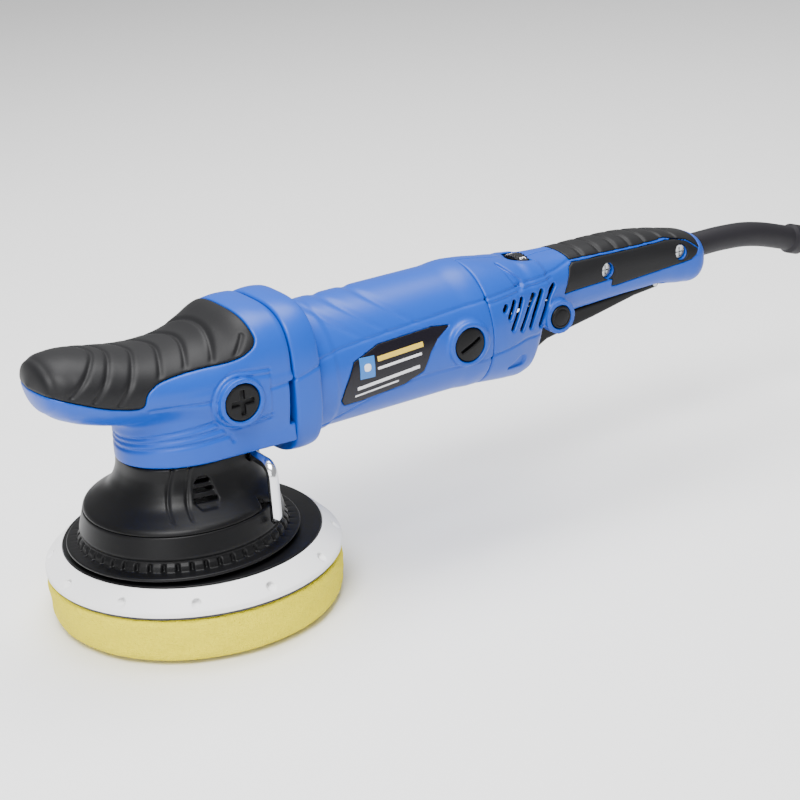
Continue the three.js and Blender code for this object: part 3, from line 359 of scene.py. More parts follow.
def grain_group():
    """A height for a bump: fine noise, plus a share of a coarser one."""
    group, nodes, join, given, result = new_group("moulded grain", [
        ("Scale", "NodeSocketFloat", 1500.0),
        ("Coarse", "NodeSocketFloat", 0.3),
    ], "Height", "NodeSocketFloat")
    place = nodes.new("ShaderNodeTexCoord")
    fine = nodes.new("ShaderNodeTexNoise")
    coarse = nodes.new("ShaderNodeTexNoise")
    smaller = nodes.new("ShaderNodeMath")
    smaller.operation = "MULTIPLY"
    smaller.inputs[1].default_value = 0.12
    total = nodes.new("ShaderNodeMath")
    total.operation = "MULTIPLY_ADD"
    join(place.outputs["Object"], fine.inputs["Vector"])
    join(place.outputs["Object"], coarse.inputs["Vector"])
    join(given.outputs["Scale"], fine.inputs["Scale"])
    join(given.outputs["Scale"], smaller.inputs[0])
    join(smaller.outputs[0], coarse.inputs["Scale"])
    join(coarse.outputs["Fac"], total.inputs[0])
    join(given.outputs["Coarse"], total.inputs[1])
    join(fine.outputs["Fac"], total.inputs[2])
    join(total.outputs[0], result.inputs["Height"])
    return group


TONE = tone_group()
GRAIN = grain_group()
DULL_SCALE = 2.3  # how much finer the roughness drifts than the colour
DULL_DRIFT = 0.35


def shader_group(nodes, tree, **sockets):
    """A group node in a material, with its inputs set."""
    node = nodes.new("ShaderNodeGroup")
    node.node_tree = tree
    for socket, value in sockets.items():
        node.inputs[socket].default_value = value
    return node


def finish(name, colour, rough, metal=0.0, drift=0.08, drift_scale=25.0, grain=1500.0, coarse=0.3,
           depth=0.15, reach=0.0001, **extra):
    """A material with a drifting colour and roughness and a grain bump; extra sets shader sockets."""
    material = bpy.data.materials.new(name)
    material.use_nodes = True
    nodes, join = material.node_tree.nodes, material.node_tree.links.new
    shader = nodes["Principled BSDF"]
    shader.inputs["Metallic"].default_value = metal
    for socket, value in extra.items():
        shader.inputs[socket.replace("_", " ")].default_value = value
    tone = shader_group(nodes, TONE, Color=(*colour, 1), Scale=drift_scale, Amount=drift)
    join(tone.outputs["Color"], shader.inputs["Base Color"])
    dull_scale = drift_scale * DULL_SCALE
    dull = shader_group(nodes, TONE, Color=(rough, rough, rough, 1), Scale=dull_scale, Amount=DULL_DRIFT)
    join(dull.outputs["Color"], shader.inputs["Roughness"])
    texture = shader_group(nodes, GRAIN, Scale=grain, Coarse=coarse)
    bump = nodes.new("ShaderNodeBump")
    bump.inputs["Strength"].default_value = depth
    bump.inputs["Distance"].default_value = reach
    join(texture.outputs["Height"], bump.inputs["Height"])
    join(bump.outputs["Normal"], shader.inputs["Normal"])
    return material


blue = finish("blue shell", (0.001, 0.062, 0.42), 0.38, depth=0.10, grain=1900, Specular_IOR_Level=0.35)
grip_black = finish("black grip", (0.008, 0.008, 0.009), 0.5, depth=0.35, grain=1300, coarse=0.5,
                    Specular_IOR_Level=0.22)
hard_black = finish("black plastic", (0.004, 0.004, 0.0045), 0.4, depth=0.25, grain=1500,
                    Specular_IOR_Level=0.18)
dial_black = finish("dial plastic", (0.006, 0.006, 0.007), 0.38, Specular_IOR_Level=0.25, depth=0.15)
boot_rubber = finish("boot rubber", (0.010, 0.009, 0.012), 0.6, depth=0.3, grain=1100,
                     Specular_IOR_Level=0.3)
cushion_white = finish("white cushion", (0.9, 0.9, 0.9), 0.55, drift=0.04, depth=0.2, grain=900)
foam_yellow = finish("yellow foam", (0.80, 0.68, 0.008), 0.95, drift=0.25, drift_scale=700, grain=1100,
                     coarse=0.8, depth=1.0, reach=0.0012)
hook_loop = finish("loop fabric", (0.05, 0.05, 0.055), 0.95, depth=0.9, grain=2500)
label_black = finish("label film", (0.006, 0.005, 0.009), 0.25, depth=0.03, Specular_IOR_Level=0.25)
label_white = finish("label white", (0.75, 0.75, 0.78), 0.4, depth=0.03)
label_gold = finish("label yellow", (0.75, 0.52, 0.05), 0.4, depth=0.03)
label_blue = finish("label blue", (0.02, 0.16, 0.5), 0.35, depth=0.03)
key_metal = finish("bright key steel", (0.72, 0.73, 0.75), 0.16, 1.0, drift=0.05, depth=0.06)
steel = finish("turned steel", (0.55, 0.56, 0.57), 0.3, 1.0, depth=0.1)
casting = finish("cast metal", (0.42, 0.43, 0.44), 0.5, 1.0, drift=0.15, depth=0.6, grain=900)
copper = finish("copper wire", (0.62, 0.24, 0.09), 0.32, 1.0, depth=0.3)
brass = finish("brass", (0.62, 0.45, 0.18), 0.28, 1.0)
carbon = finish("carbon", (0.02, 0.02, 0.021), 0.75, depth=0.5)
board_green = finish("circuit board", (0.02, 0.16, 0.05), 0.5)

# ---- head: a beak over an upright column ----
BEAK = [
    (-71.5, 23.3, 29.3, 4, 2), (-69.5, 16.3, 34.3, 13, 2), (-65, 10.8, 37.3, 19, 2.1),
    (-56, 5.3, 38.5, 23.5, 2.2), (-46, 1.8, 37.5, 26.5, 2.3), (-33, -1.2, 34.8, 29.5, 2.3),
    (-16, -3.2, 31.8, 32, 2.3), (-2, -6.7, 31.3, 33.5, 2.4), (9, -11.7, 32.9, 34.5, 2.5),
    (20, -16.7, 37.3, 35.5, 2.7), (29, -19.7, 41.3, 36.2, 3), (37, -21.7, 42.9, 36.6, 3),
    (HEAD_REAR, -22.7, 42.5, 37, 3),
]
COLUMN_BOTTOM, COLUMN_TOP = -24.1, 9.3
GRIP_OUTLINE = eased([
    (-90, 26), (-71, 25.6), (-59, 20.8), (-44, 14.8), (-30.5, 11.9), (-26.5, 12.6), (-25.2, 18.5),
    (-19, 22.1), (-7, 23.4), (22, 24.2), (33.2, 30), (32.6, 38), (30, 60), (-90, 60),
], 2)
GRIP_DEPTH = 3.2
CAP_X, CAP_H, CAP_RADIUS, CAP_FACE = 20.5, 4.7, 9.4, 38.2
RIB_LINES = [
    [(-60, -11.2), (-30, -10.0), (-16, -6.9), (8, -4.0), (10.2, -6.6)],
    [(-60, -14), (-30, -12.6), (-16, -10.2), (11.6, -8.2), (13.6, -10.6)],
    [(-60, -17), (-30, -15.8), (-16, -13.8), (15, -12.4), (16.6, -15.6)],
]
GRIP_GROOVES = [(-39.5, 3.0), (-32, 2.2), (-19.7, 2.1), (-6.6, 1.8), (5.9, 1.8), (18.3, 1.7)]
GRIP_RAISED = 0.3  # how far the grip stands proud of the cover
OUTER_U, INNER_U = 14.2, 11.8  # the radii of the two grooves round a side cap
HEAD_SEAM = [
    (36.8, 7.4), (51, 8.2), (65.5, 12.2), (72, 13.4), (83.3, 14.7), (108.3, 16.2), (139, 17.5), (174, 19.2),
]


def column(x, y, h):
    """The upright column: half an ellipse in front, then walls that spread a little to the rear."""
    start, half, spread = 10, 32, 2.6
    length = HEAD_REAR - start
    front = ring_reach(length, half, 2.0, x - start, y)
    plan = np.where(x < start, front, np.abs(y) - half - spread * (x - start) / length)
    return soft_max(plan, np.maximum(COLUMN_BOTTOM - h, h - COLUMN_TOP), 1.2)


def head_form(x, y, h):
    """The beak joined to the column with a fillet, cut square at the rear."""
    return soft_max(soft_min(loft(BEAK, x, y, h, 4), column(x, y, h), 5), x - HEAD_REAR, 1)


def surround(x, h, radius):
    """Distance to a U about the side cap that is round in front and narrows a little to its open rear."""
    arm = np.abs(h - CAP_H) - radius + np.maximum(x - CAP_X, 0) * 0.1
    return np.where(x < CAP_X, np.hypot(x - CAP_X, h - CAP_H) - radius, arm)


def head_room(x, y, h):
    """The space inside the head for the gear case, the bearings and the side bosses."""
    tower = rod_form(x, y, h, 26.5, -FAR, 9.5)
    top = rod_form(x, y, h, 17.2, -FAR, 22.6)
    nose = rod_form(y, h, x, 24.6, 8, FAR)
    boss = np.hypot(x - CAP_X, h - CAP_H) - CAP_RADIUS - 0.3
    return np.minimum(np.minimum(tower, top), np.minimum(nose, boss))


def head_solid(x, y, h):
    """The head's form less the space inside it."""
    return np.maximum(head_form(x, y, h), -head_room(x, y, h))


def head_cover(x, y, h):
    """The blue cover with its pocket for the grip, ribs, surrounds, seam line and rear slots."""
    f = head_form(x, y, h)
    inside_u = smooth_step(0.5 - surround(x, h, OUTER_U)) * smooth_step((37.5 - x) / 1.5)
    f = f - 0.6 * inside_u * (np.abs(y) > 20)
    for points in RIB_LINES:
        f = groove(f, line_distance(points, x, h), 0.95, 0.9)
    tail = np.maximum(x - 37, 0)
    for radius in (OUTER_U, INNER_U):
        f = groove(f, np.hypot(surround(x, h, radius), tail), 0.75, 0.7)
    f = groove(f, line_distance([(-24, 9.6), (6.3, 7.4)], x, h))
    f = groove(f, line_distance(HEAD_SEAM, x, h))
    slot = np.maximum(np.maximum(46.9 - x, np.abs(h + 3.2) - 11.5), 29 - np.abs(y))
    f = soft_max(f, -slot, 0.6)
    pocket = np.minimum(0.25 - outline_distance(GRIP_OUTLINE, x, h), f + GRIP_DEPTH + 0.3)
    rim = CAP_RADIUS + 2.6 - np.hypot(x - CAP_X, h - CAP_H)
    f = np.minimum(f, np.maximum(-rim, np.abs(y) - CAP_FACE - 0.2))
    return np.maximum(soft_max(f, pocket, 0.9), -head_room(x, y, h))


def head_grip(x, y, h):
    """The soft grip: a thick skin just proud of the cover, with grooves that bow over its top."""
    f = head_form(x, y, h) - GRIP_RAISED
    outline = outline_distance(GRIP_OUTLINE, x, h)
    turn = np.degrees(np.arctan2(np.abs(y), h - 14 + 0.1 * x))
    edge = np.maximum(outline + 2.6, 0)
    skin = f
    degree = 0.45  # how far apart two degrees are on the grip
    for start, bow in GRIP_GROOVES:
        lean = 2 * bow * turn / 1000 / degree
        across = (x - start + bow * turn**2 / 1000) / np.sqrt(1 + lean**2)
        skin = groove(skin, np.hypot(across, edge), 1.25, 1.15)
    short = np.hypot(line_distance([(28.0, 34.5), (21.8, 26.5)], x, h), edge)
    skin = groove(skin, short, 1.0, 0.9)
    return np.maximum(soft_max(skin, outline + 0.15, 1.2), -(f + GRIP_DEPTH))


def side_cap(x, y, h):
    """A round cap with an eased rim and a cross-shaped recess for a driver, over a peg into the boss."""
    u, v = x - CAP_X, h - CAP_H
    long, wide = 6.2, 1.3
    disc = rod_form(u, v, y, CAP_RADIUS, 34.0, CAP_FACE, 1.6)
    level = np.maximum(np.abs(u) - long, np.abs(v) - wide)
    cross = np.minimum(level, np.maximum(np.abs(v) - long, np.abs(u) - wide))
    disc = soft_max(disc, -np.maximum(cross, CAP_FACE - 1.8 - y), 0.5)
    return np.minimum(disc, rod_form(u, v, y, 4.6, 25.0, 35.0))


cover = net(head_solid, head_cover, (-72, -39, -25), (50.5, 39, 44), 0.72, 7)
piece("moulded_head_cover", cover, blue, "housing", ["head_cover"], AXIS)
grip = net(head_form, head_grip, (-73, -36, 8), (35, 36, 45), 0.68, 6, True)
piece("moulded_head_grip", grip, grip_black, "housing", ["head_grip"], AXIS)
cap = net(side_cap, None, (CAP_X - 10, 24, CAP_H - 10), (CAP_X + 10, 39, CAP_H + 10), 0.34)
for side, shape in (("right", cap), ("left", mirrored(cap))):
    node = f"{side}_side_cap"
    piece("moulded_" + node, shape, hard_black, "housing", [node], AXIS)

# ---- collar and motor housing ----
COLLAR = [
    (50.3, -36.3, 42.1, 37.0, 3), (53, -36.7, 42.5, 37.3, 3), (62, -36.7, 42.4, 37.3, 3),
    (65.3, -36.1, 41.7, 36.8, 3),
]
LABEL = eased([
    (HOUSING[0] + x, h)
    for x, h in [(12.4, -10.9), (15.9, -16.4), (60, -11.7), (67.9, 5.3), (82.4, 13.9), (23.4, 11.7)]
], 1)
LOWER_SEAM = [
    (67.5, -27.2), (74.7, -24.6), (90, -18.2), (104.2, -13.4), (118, -11.6), (135.1, -11.3), (169.5, -12),
]
RIPPLES = (73, 88, 106)


def gear_collar(x, y, h):
    """The square-shouldered collar behind the head, with the panel seam across it and an open middle."""
    f = groove(loft(COLLAR, x, y, h, 1.6), line_distance(HEAD_SEAM, x, h))
    return np.maximum(f, 29.2 - np.hypot(y, h))


def barrel(x, y, h):
    """The motor's round barrel with a raised rim at each end."""
    front = 1 - smooth_step((x - HOUSING[0] - 9) / 4)
    rear = smooth_step((x - HOUSING[1] + 16) / 12)
    return np.hypot(y, h) - BARREL - 0.9 * (front + rear)


def housing_outside(x, y, h):
    """The barrel between its ends, with soft ripples over its front top and a boss round each brush cap."""
    turn = np.degrees(np.arctan2(np.abs(y), h))
    ripple = sum(np.exp(-(((x - start - 0.006 * turn**2) / 2.6) ** 2)) for start in RIPPLES)
    f = barrel(x, y, h) + 0.8 * ripple * (1 - smooth_step((turn - 48) / 22))
    boss = soft_max(np.hypot(x - BRUSH_X, h) - 12, np.abs(y) - 36, 1.6)
    f = soft_min(f, boss, 2.5)
    return soft_max(f, np.maximum(HOUSING[0] - x, x - HOUSING[1]), 1.0)


def motor_housing(x, y, h):
    """The outside with its seams, label recess, cap seats and open bore."""
    f = housing_outside(x, y, h)
    side = np.abs(y) > 5
    for points in (HEAD_SEAM, LOWER_SEAM):
        f = np.where(side, groove(f, line_distance(points, x, h)), f)
    recess = np.maximum(outline_distance(LABEL, x, h) - 0.3, y)
    f = soft_max(f, -np.maximum(recess, BARREL - 0.9 - np.hypot(y, h)), 0.3)
    seat = np.maximum(np.hypot(x - BRUSH_X, h) - 9.35, 31.8 - np.abs(y))
    well = np.maximum(np.maximum(np.abs(x - BRUSH_X) - 5.8, np.abs(h) - 4.4), 10 - np.abs(y))
    f = np.maximum(soft_max(f, -seat, 0.6), -well)
    return np.maximum(f, 30.2 - np.hypot(y, h))


def on_barrel(outline, low, high):
    """A thin patch on the barrel's left side: within an outline in side view, between two radii."""
    def form(x, y, h):
        r = np.hypot(y, h)
        return soft_max(np.maximum(outline_distance(outline, x, h), y), np.maximum(low - r, r - high), 0.12)
    return form


def bar(x0, h0, x1, h1, half):
    """The outline of a straight bar between two places in side view, with a half width."""
    length = math.hypot(x1 - x0, h1 - h0)
    up, back = half * (x1 - x0) / length, half * (h1 - h0) / length
    return [(x0 - back, h0 + up), (x1 - back, h1 + up), (x1 + back, h1 - up), (x0 + back, h0 - up)]


def brush_cap(x, y, h):
    """A round screw cap with a domed face and a slot across it, turned a little from level."""
    u, v, turn = x - BRUSH_X, h, 0.45
    dome = rod_form(u, v, y + 0.012 * (u**2 + v**2), 9.0, 32.0, 36.6, 1.2)
    across = u * math.cos(turn) + v * math.sin(turn)
    wide = v * math.cos(turn) - u * math.sin(turn)
    slot = np.maximum(np.maximum(np.abs(across) - 6.5, np.abs(wide) - 1.0), 34.4 - y)
    return soft_max(dome, -slot, 0.4)


def collar_outside(x, y, h):
    """The collar without its seam and its middle."""
    return loft(COLLAR, x, y, h)


collar = net(collar_outside, gear_collar, (50, -38, -38), (65.6, 38, 44), 0.62, 18, True)
piece("moulded_gear_collar", collar, blue, "housing", ["gear_collar"], AXIS)
shell = net(housing_outside, motor_housing, (65, -37, -36), (171, 37, 36), 0.72, 8, True)
piece("moulded_motor_housing", shell, blue, "housing", ["motor_housing"], AXIS)
label_low, label_high = (77, -35, -18), (149, -28, 15)
label = net(on_barrel(LABEL, BARREL - 0.6, BARREL + 0.15), None, label_low, label_high, 0.36)
piece("moulded_label_plate", label, label_black, "housing", ["label_plate"], AXIS)
art = [
    ("label_badge", bar(93.4, -3.0, 93.9, 8.0, 4.4), label_blue),
    ("label_badge_disc", eased(bar(93.6, 0.6, 93.8, 4.6, 2.0), 2), label_white),
    ("label_upper_stripe", bar(100.0, 5.4, 127.5, 6.6, 1.3), label_gold),
    ("label_middle_stripe", bar(99.6, 0.6, 126.0, 2.0, 0.7), label_white),
    ("label_lower_stripe", bar(87.5, -7.6, 124.6, -4.6, 0.9), label_white),
    ("label_base_stripe", bar(86.5, -11.6, 112.0, -9.4, 0.5), label_white),
]
for name, outline, ink in art:
    low = (min(p[0] for p in outline), -34.5, min(p[1] for p in outline))
    high = (max(p[0] for p in outline), -30, max(p[1] for p in outline))
    raised = 0.12 if name == "label_badge_disc" else 0.0
    patch = net(on_barrel(outline, BARREL - 0.1, BARREL + 0.36 + raised), None, low, high, 0.2)
    piece(name, patch, ink, "housing", lift=AXIS)
screw_cap = net(brush_cap, None, (145, 31, -10), (164, 38, 10), 0.34)
for side, shape in (("right", screw_cap), ("left", mirrored(screw_cap))):
    node = f"{side}_brush_cap"
    piece("moulded_" + node, shape, hard_black, "housing", [node], AXIS)

# ---- handle: places along it are measured from its front ----
BELLY = [
    (0, -33.9, 33.9, 33.9, 2.1), (9.4, -34.7, 32.7, 33, 2.2), (19.4, -35.3, 30.9, 30.6, 2.4),
    (29.4, -35.1, 29.3, 27, 2.6), (34.4, -32.7, 28.3, 25.4, 2.6), (37.4, -26.7, 27.7, 24.4, 2.6),
    (39.9, -18.7, 27.3, 23.7, 2.6), (43.4, -10.7, 26.9, 23, 2.6),
]
GRIP = [
    (33.4, -13.7, 28.5, 25, 2.6), (47.4, -11.2, 26.7, 22.4, 2.5), (61.4, -9.7, 26.1, 20, 2.5),
    (85.4, -9.1, 26.1, 18.2, 2.6), (111.4, -8.7, 25.3, 17.8, 2.6), (133.4, -8.7, 22.1, 17.8, 2.6),
    (145.4, -10.5, 19.5, 17.8, 2.6), (154.4, -10.7, 17.3, 17.4, 2.6), (160.4, -7.1, 15.3, 15.4, 2.4),
]
TOP_INLAY = [(58.4, 39.3), (65.4, 22.5), (132.4, 19.9), (147.4, 15.9), (154.4, 10.3), (156.4, 39.3)]
SIDE_INLAY = [
    (56, 7), (91, 7), (90.4, 3), (93.9, 2.7), (147.4, 5.5), (151.4, 7.6), (153.4, 10.0), (147.0, 15.3),
    (139, 17.9), (132, 18.9), (66, 21.3), (62.6, 19.9),
]
TOP_RIBS = (74.3, 85.9, 96.9, 106.7, 117.4, 129.6, 140.5)
VENTS = [
    ((11.2, 12.4), (9.9, 11.2)), ((17.6, 13.0), (12.6, 6.9)), ((23.6, 12.9), (14.0, 0.4)),
    ((33.0, 12.4), (20.9, -1.9)), ((38.6, 13.2), (28.9, -3.0)), ((45.2, 12.0), (37.1, -4.4)),
    ((48.4, 13.6), (42.2, 6.9)),
]
UPPER_SEAMS = [
    [(0, 19.2), (20, 19.6), (51.7, 20.3), (58, 21.2), (65.5, 22.4)],
    [(0, 16.6), (20, 17.0), (48, 17.9)],
]
HANDLE_LOWER_SEAM = [(0, -10.9), (24.3, -8.3), (35.6, -9.7)]
DROPS = [((19.6, 29.0), (24.6, 20.4)), ((14.0, -22.8), (21.6, -20.3))]
TRIGGER_ROOM = [
    (38.4, -30), (38.4, 1.5), (53, 3.5), (117, 0.6), (132, 0.2), (132.4, -8.3), (127, -8.9), (111.4, -9.9),
    (81.4, -15.5), (50.4, -20.6), (44, -30),
]
TRIGGER = [
    (40.9, -11.7), (40.9, -20.7), (43.4, -23.1), (50.4, -19.7), (81.4, -14.7), (111.4, -9.1), (127.4, -7.7),
    (129.9, -5.2), (127.4, -2.2), (117.4, -4.3), (53.4, -7.4), (43.9, -9.8),
]
SCREWS = [(88.4, 11.9), (140.8, 10.9)]
SCREW_HEAD = 4.4  # the radius left for a screw's head
LOCK_X, LOCK_H, LOCK_FACE = 49.9, -3.4, 26.5
DIAL_X, DIAL_H, DIAL_RADIUS = 40.4, 13.3, 15.0
BOOT_H = 6.1
PROUD = 0.15  # how far an inlay stands above the handle


def handle_form(x, y, h):
    """The round belly joined to the grip with a fillet."""
    return soft_min(loft(BELLY, x - HANDLE, y, h), loft(GRIP, x - HANDLE, y, h, 5), 4)


def handle_room(x, y, h):
    """The space inside the handle: its form drawn in by the wall, open to the front."""
    open_belly = [(-6,) + BELLY[0][1:]] + BELLY
    return soft_min(loft(open_belly, x, y, h), loft(GRIP, x, y, h), 4) + WALL


def handle_shell(x, y, h):
    """The handle's moulding with its boss, vents, seams, recesses, inlay pockets and openings."""
    f = handle_form(x, y, h)
    x = x - HANDLE
    across = np.abs(y)
    boss = np.maximum(np.hypot(x - LOCK_X, h - LOCK_H) - 9.2, np.maximum(-y - LOCK_FACE + 1.2, y + 19))
    f = soft_min(f, boss, 1.6)
    for points in UPPER_SEAMS + [HANDLE_LOWER_SEAM]:
        f = np.where(across > 4, groove(f, line_distance(points, x, h)), f)
    for tip, end in DROPS:
        ex, eh = end[0] - tip[0], end[1] - tip[1]
        t = np.clip(((x - tip[0]) * ex + (h - tip[1]) * eh) / (ex**2 + eh**2), 0, 1)
        drop = line_distance([tip, end], x, h) - 0.6 - 2.6 * t
        f = f + 1.5 * smooth_step(0.5 - drop / 1.8) * (across > 9)
    for top, bottom in VENTS:
        f = np.where(across > 12, soft_max(f, 1.55 - line_distance([top, bottom], x, h), 1.2), f)
    scoop = (np.sqrt(((x - DIAL_X - 2) / 13) ** 2 + (y / 15) ** 2 + ((h - 31.5) / 6) ** 2) - 1) * 6
    f = soft_max(f, -scoop, 2.0)
    dial = np.maximum(np.hypot(y, h - DIAL_H) - DIAL_RADIUS - 1.2, np.abs(x - DIAL_X) - 4.4)
    f = soft_max(f, -dial, 0.5)
    depth = f + 1.9
    for outline in (TOP_INLAY, SIDE_INLAY):
        f = soft_max(f, np.minimum(0.1 - outline_distance(outline, x, h), depth), 0.3)
    trigger = np.maximum(outline_distance(TRIGGER_ROOM, x, h), across - 13.2)
    f = soft_max(f, -trigger, 0.5)
    lock = np.maximum(np.hypot(x - LOCK_X, h - LOCK_H) - 6.6, y + 10)
    f = soft_max(f, -lock, 0.4)
    for sx, sh in SCREWS:
        f = np.maximum(f, -np.maximum(np.hypot(x - sx, h - sh) - SCREW_HEAD, y + 12))
    return np.maximum(f, -np.maximum(np.hypot(y, h - BOOT_H) - 7.4, 150 - x))


def handle_half(side):
    """One half of the handle: the hollow shell on one side of the middle plane, with its screw posts."""
    def form(x, y, h):
        shell = np.maximum(handle_shell(x, y, h), -handle_room(x - HANDLE, y, h))
        core = handle_form(x, y, h) + 1.5
        for sx, sh in SCREWS:
            r = np.hypot(x - HANDLE - sx, h - sh)
            post = np.maximum(np.maximum(r - 5.6, core), 2.3 - r)
            head = np.maximum(r - SCREW_HEAD, y + 12)
            shell = np.minimum(shell, np.maximum(post, -head))
        return np.maximum(shell, 0.15 - side * y)
    return form


def inlay_skin(outline, holes, side=0):
    """A soft inlay: a thin, slightly proud skin of the handle's form inside an outline."""
    def form(x, y, h):
        f = handle_form(x, y, h) - PROUD
        u = x - HANDLE
        edge = outline_distance(outline, u, h)
        skin = f
        if side == 0:
            for rib in TOP_RIBS:
                skin = groove(skin, np.hypot(u - rib, np.maximum(edge + 1.4, 0)), 1.2, 1.0)
        skin = np.maximum(soft_max(skin, edge + 0.1, 0.7), -(f + 1.7))
        if holes:
            for sx, sh in SCREWS:
                skin = soft_max(skin, SCREW_HEAD - np.hypot(u - sx, h - sh), 0.6)
        return np.maximum(skin, 1 - side * y) if side else skin
    return form


def vent_screen(x, y, h):
    """A thin black wall on the middle plane, inside the belly: painted shade, a dark sheet that stands for
    the shadowed inside of the handle behind the vents, so that they look black and don't show daylight.
    """
    u = x - HANDLE
    start, end, half, gap = 3, 35, 0.7, 0.5
    within = np.maximum(np.abs(y) - half, handle_room(u, y, h) + gap)
    return np.maximum(within, np.maximum(start - u, u - end))


for side, name in ((1, "right"), (-1, "left")):
    near, far = min(0, 35 * side), max(0, 35 * side)
    half = net(handle_form, handle_half(side), (170, near, -37), (332, far, 35), 0.62, 40)
    node = f"{name}_handle_half"
    piece("moulded_" + node, half, blue, "housing", [node], AXIS)
    skin = inlay_skin(SIDE_INLAY, side < 0, side)
    inlay = net(handle_form, skin, (225, near, 1), (326, far, 24), 0.5, 4, True)
    node = f"{name}_side_inlay"
    piece("moulded_" + node, inlay, grip_black, "housing", [node], AXIS)
# a black wall inside the belly, as painted shade behind the vents
shade_wall_mesh = net(vent_screen, None, (173, -1, -33), (206, 1, 31), 0.6)
piece("vent_screen", shade_wall_mesh, hard_black, "housing", lift=AXIS)
top = net(handle_form, inlay_skin(TOP_INLAY, False), (226, -22, 8), (328, 22, 29), 0.52, 4, True)
piece("moulded_top_inlay", top, grip_black, "housing", ["top_inlay"], AXIS)


def trigger_form(x, y, h):
    """The paddle: its side outline across the handle with rounded edges, round a pin."""
    u = x - HANDLE
    f = soft_max(outline_distance(TRIGGER, u, h), np.abs(y) - 12, 2.2)
    return np.maximum(f, 1.6 - np.hypot(u - 125.4, h + 5.2))


def lock_form(x, y, h):
    """The lock button: a domed face inside a shallow ring groove, over a lip that holds it in."""
    r = np.hypot(x - HANDLE - LOCK_X, h - LOCK_H)
    face = -y - LOCK_FACE + 0.018 * r**2
    body = soft_max(r - 6.2, np.maximum(face, y + 17), 1.0)
    body = groove(body, np.abs(r - 4.6) + np.maximum(y + 24, 0), 0.4, 0.4)
    return np.minimum(body, soft_max(r - 7.4, np.maximum(-y - 19.1, y + 17.7), 0.3))


def dial_form(x, y, h):
    """The speed wheel: a disc about the handle's length with ribs round its rim and a bore."""
    u, v, swell, ribs = y, h - DIAL_H, 0.35, 40
    r = np.hypot(u, v)
    rim = DIAL_RADIUS - swell + swell * np.cos(ribs * np.arctan2(u, v))
    across = np.abs(x - HANDLE - DIAL_X)
    ribbed = np.where(across > 2.0, rim, DIAL_RADIUS - 0.2)
    return np.maximum(soft_max(r - ribbed, across - 3.4, 0.6), 3.35 - r)


paddle = net(trigger_form, None, (211, -13, -24), (301, 13, -1.8), 0.45)
piece("moulded_trigger", paddle, hard_black, "trigger", ["trigger"], AXIS)
button = net(lock_form, None, (212, -27.5, -12), (229, -16, 5), 0.32)
piece("moulded_lock_button", button, hard_black, "lock_button", ["lock_button"], AXIS)
wheel = net(dial_form, None, (207, -16, -2), (215, 16, 29), 0.34)
piece("moulded_speed_dial", wheel, dial_black, "speed_dial", ["speed_dial"], AXIS)


def dial_number(text, turn):
    """A small white numeral flat against the wheel's rim, turned about the wheel's axis by an angle."""
    letters = bpy.data.curves.new("number " + text, "FONT")
    letters.body = text
    letters.size = 0.0052
    letters.extrude = 0.00012
    letters.align_x = "CENTER"
    letters.align_y = "CENTER"
    letters.materials.append(label_white)
    obj = bpy.data.objects.new("dial_number_" + text, letters)
    out = (DIAL_RADIUS + 0.02) * MM
    centre = ((HANDLE + DIAL_X) * MM, 0, (AXIS + DIAL_H) * MM)
    obj.matrix_world = (
        Matrix.Translation(centre) @ Matrix.Rotation(turn, 4, "X") @ Matrix.Translation((0, 0, out))
        @ Matrix.Rotation(math.pi / 2, 4, "Z")
    )
    bpy.context.scene.collection.objects.link(obj)
    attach(obj, "speed_dial")


UPPERMOST, UPPERMOST_TURN, NUMBER_STEP = 3, 22, 50
for count in range(1, 7):
    dial_number(str(count), math.radians(UPPERMOST_TURN + NUMBER_STEP * (count - UPPERMOST)))

# ---- shroud, skirt and key, with heights from the floor ----
SKIRT_BOTTOM, SKIRT_TOP, SKIRT_RADIUS = 41.0, 59.6, 48.7
SHROUD_LOW, SHROUD_TOP = 59.9, 86.3
NOTCHES = 48
SPREAD = [(0, 0), (0.28, 0.05), (0.5, 0.18), (0.69, 0.4), (0.83, 0.72), (0.92, 0.93), (1, 1)]
KEY_X, KEY_Y, KEY_Z = 28.3, -46.5, 83.0
PANEL = [(-14.2, 88), (-14.2, 86), (-21.6, 66), (-22, 65)]
PANEL_REAR = [(-5.9, 88), (-5.9, 86), (-13.2, 66), (-13.6, 65)]
VENT_FRAME = eased([(-5.3, 80.6), (3.0, 80.4), (4.4, 66.6), (-9.9, 66.8)], 1)
VENT_SLOTS = [((-4.2, 78.2), (1.6, 78.0)), ((-5.6, 74.4), (2.2, 74.2)), ((-7.0, 70.2), (2.8, 69.9))]


def shroud_outside(x, y, z, inset=0.0):
    """Superellipse sections that spread from the column's plan at the top to the skirt's circle below."""
    down = np.clip((SHROUD_TOP - z) / (SHROUD_TOP - SHROUD_LOW), 0, 1)
    out, = along(SPREAD, down)
    front = -28.4 + (-SKIRT_RADIUS + 28.4) * out
    rear = 41 + (SKIRT_RADIUS - 41) * out
    half = 29.8 + (SKIRT_RADIUS - 29.8) * out
    return ring_reach((rear - front) / 2 - inset, half - inset, 2.4 - 0.4 * out, x - (front + rear) / 2, y)


def shroud_rough(x, y, z):
    """The shroud's outside between its top and its foot."""
    return soft_max(shroud_outside(x, y, z), np.maximum(SHROUD_LOW - z, z - SHROUD_TOP), 0.8)


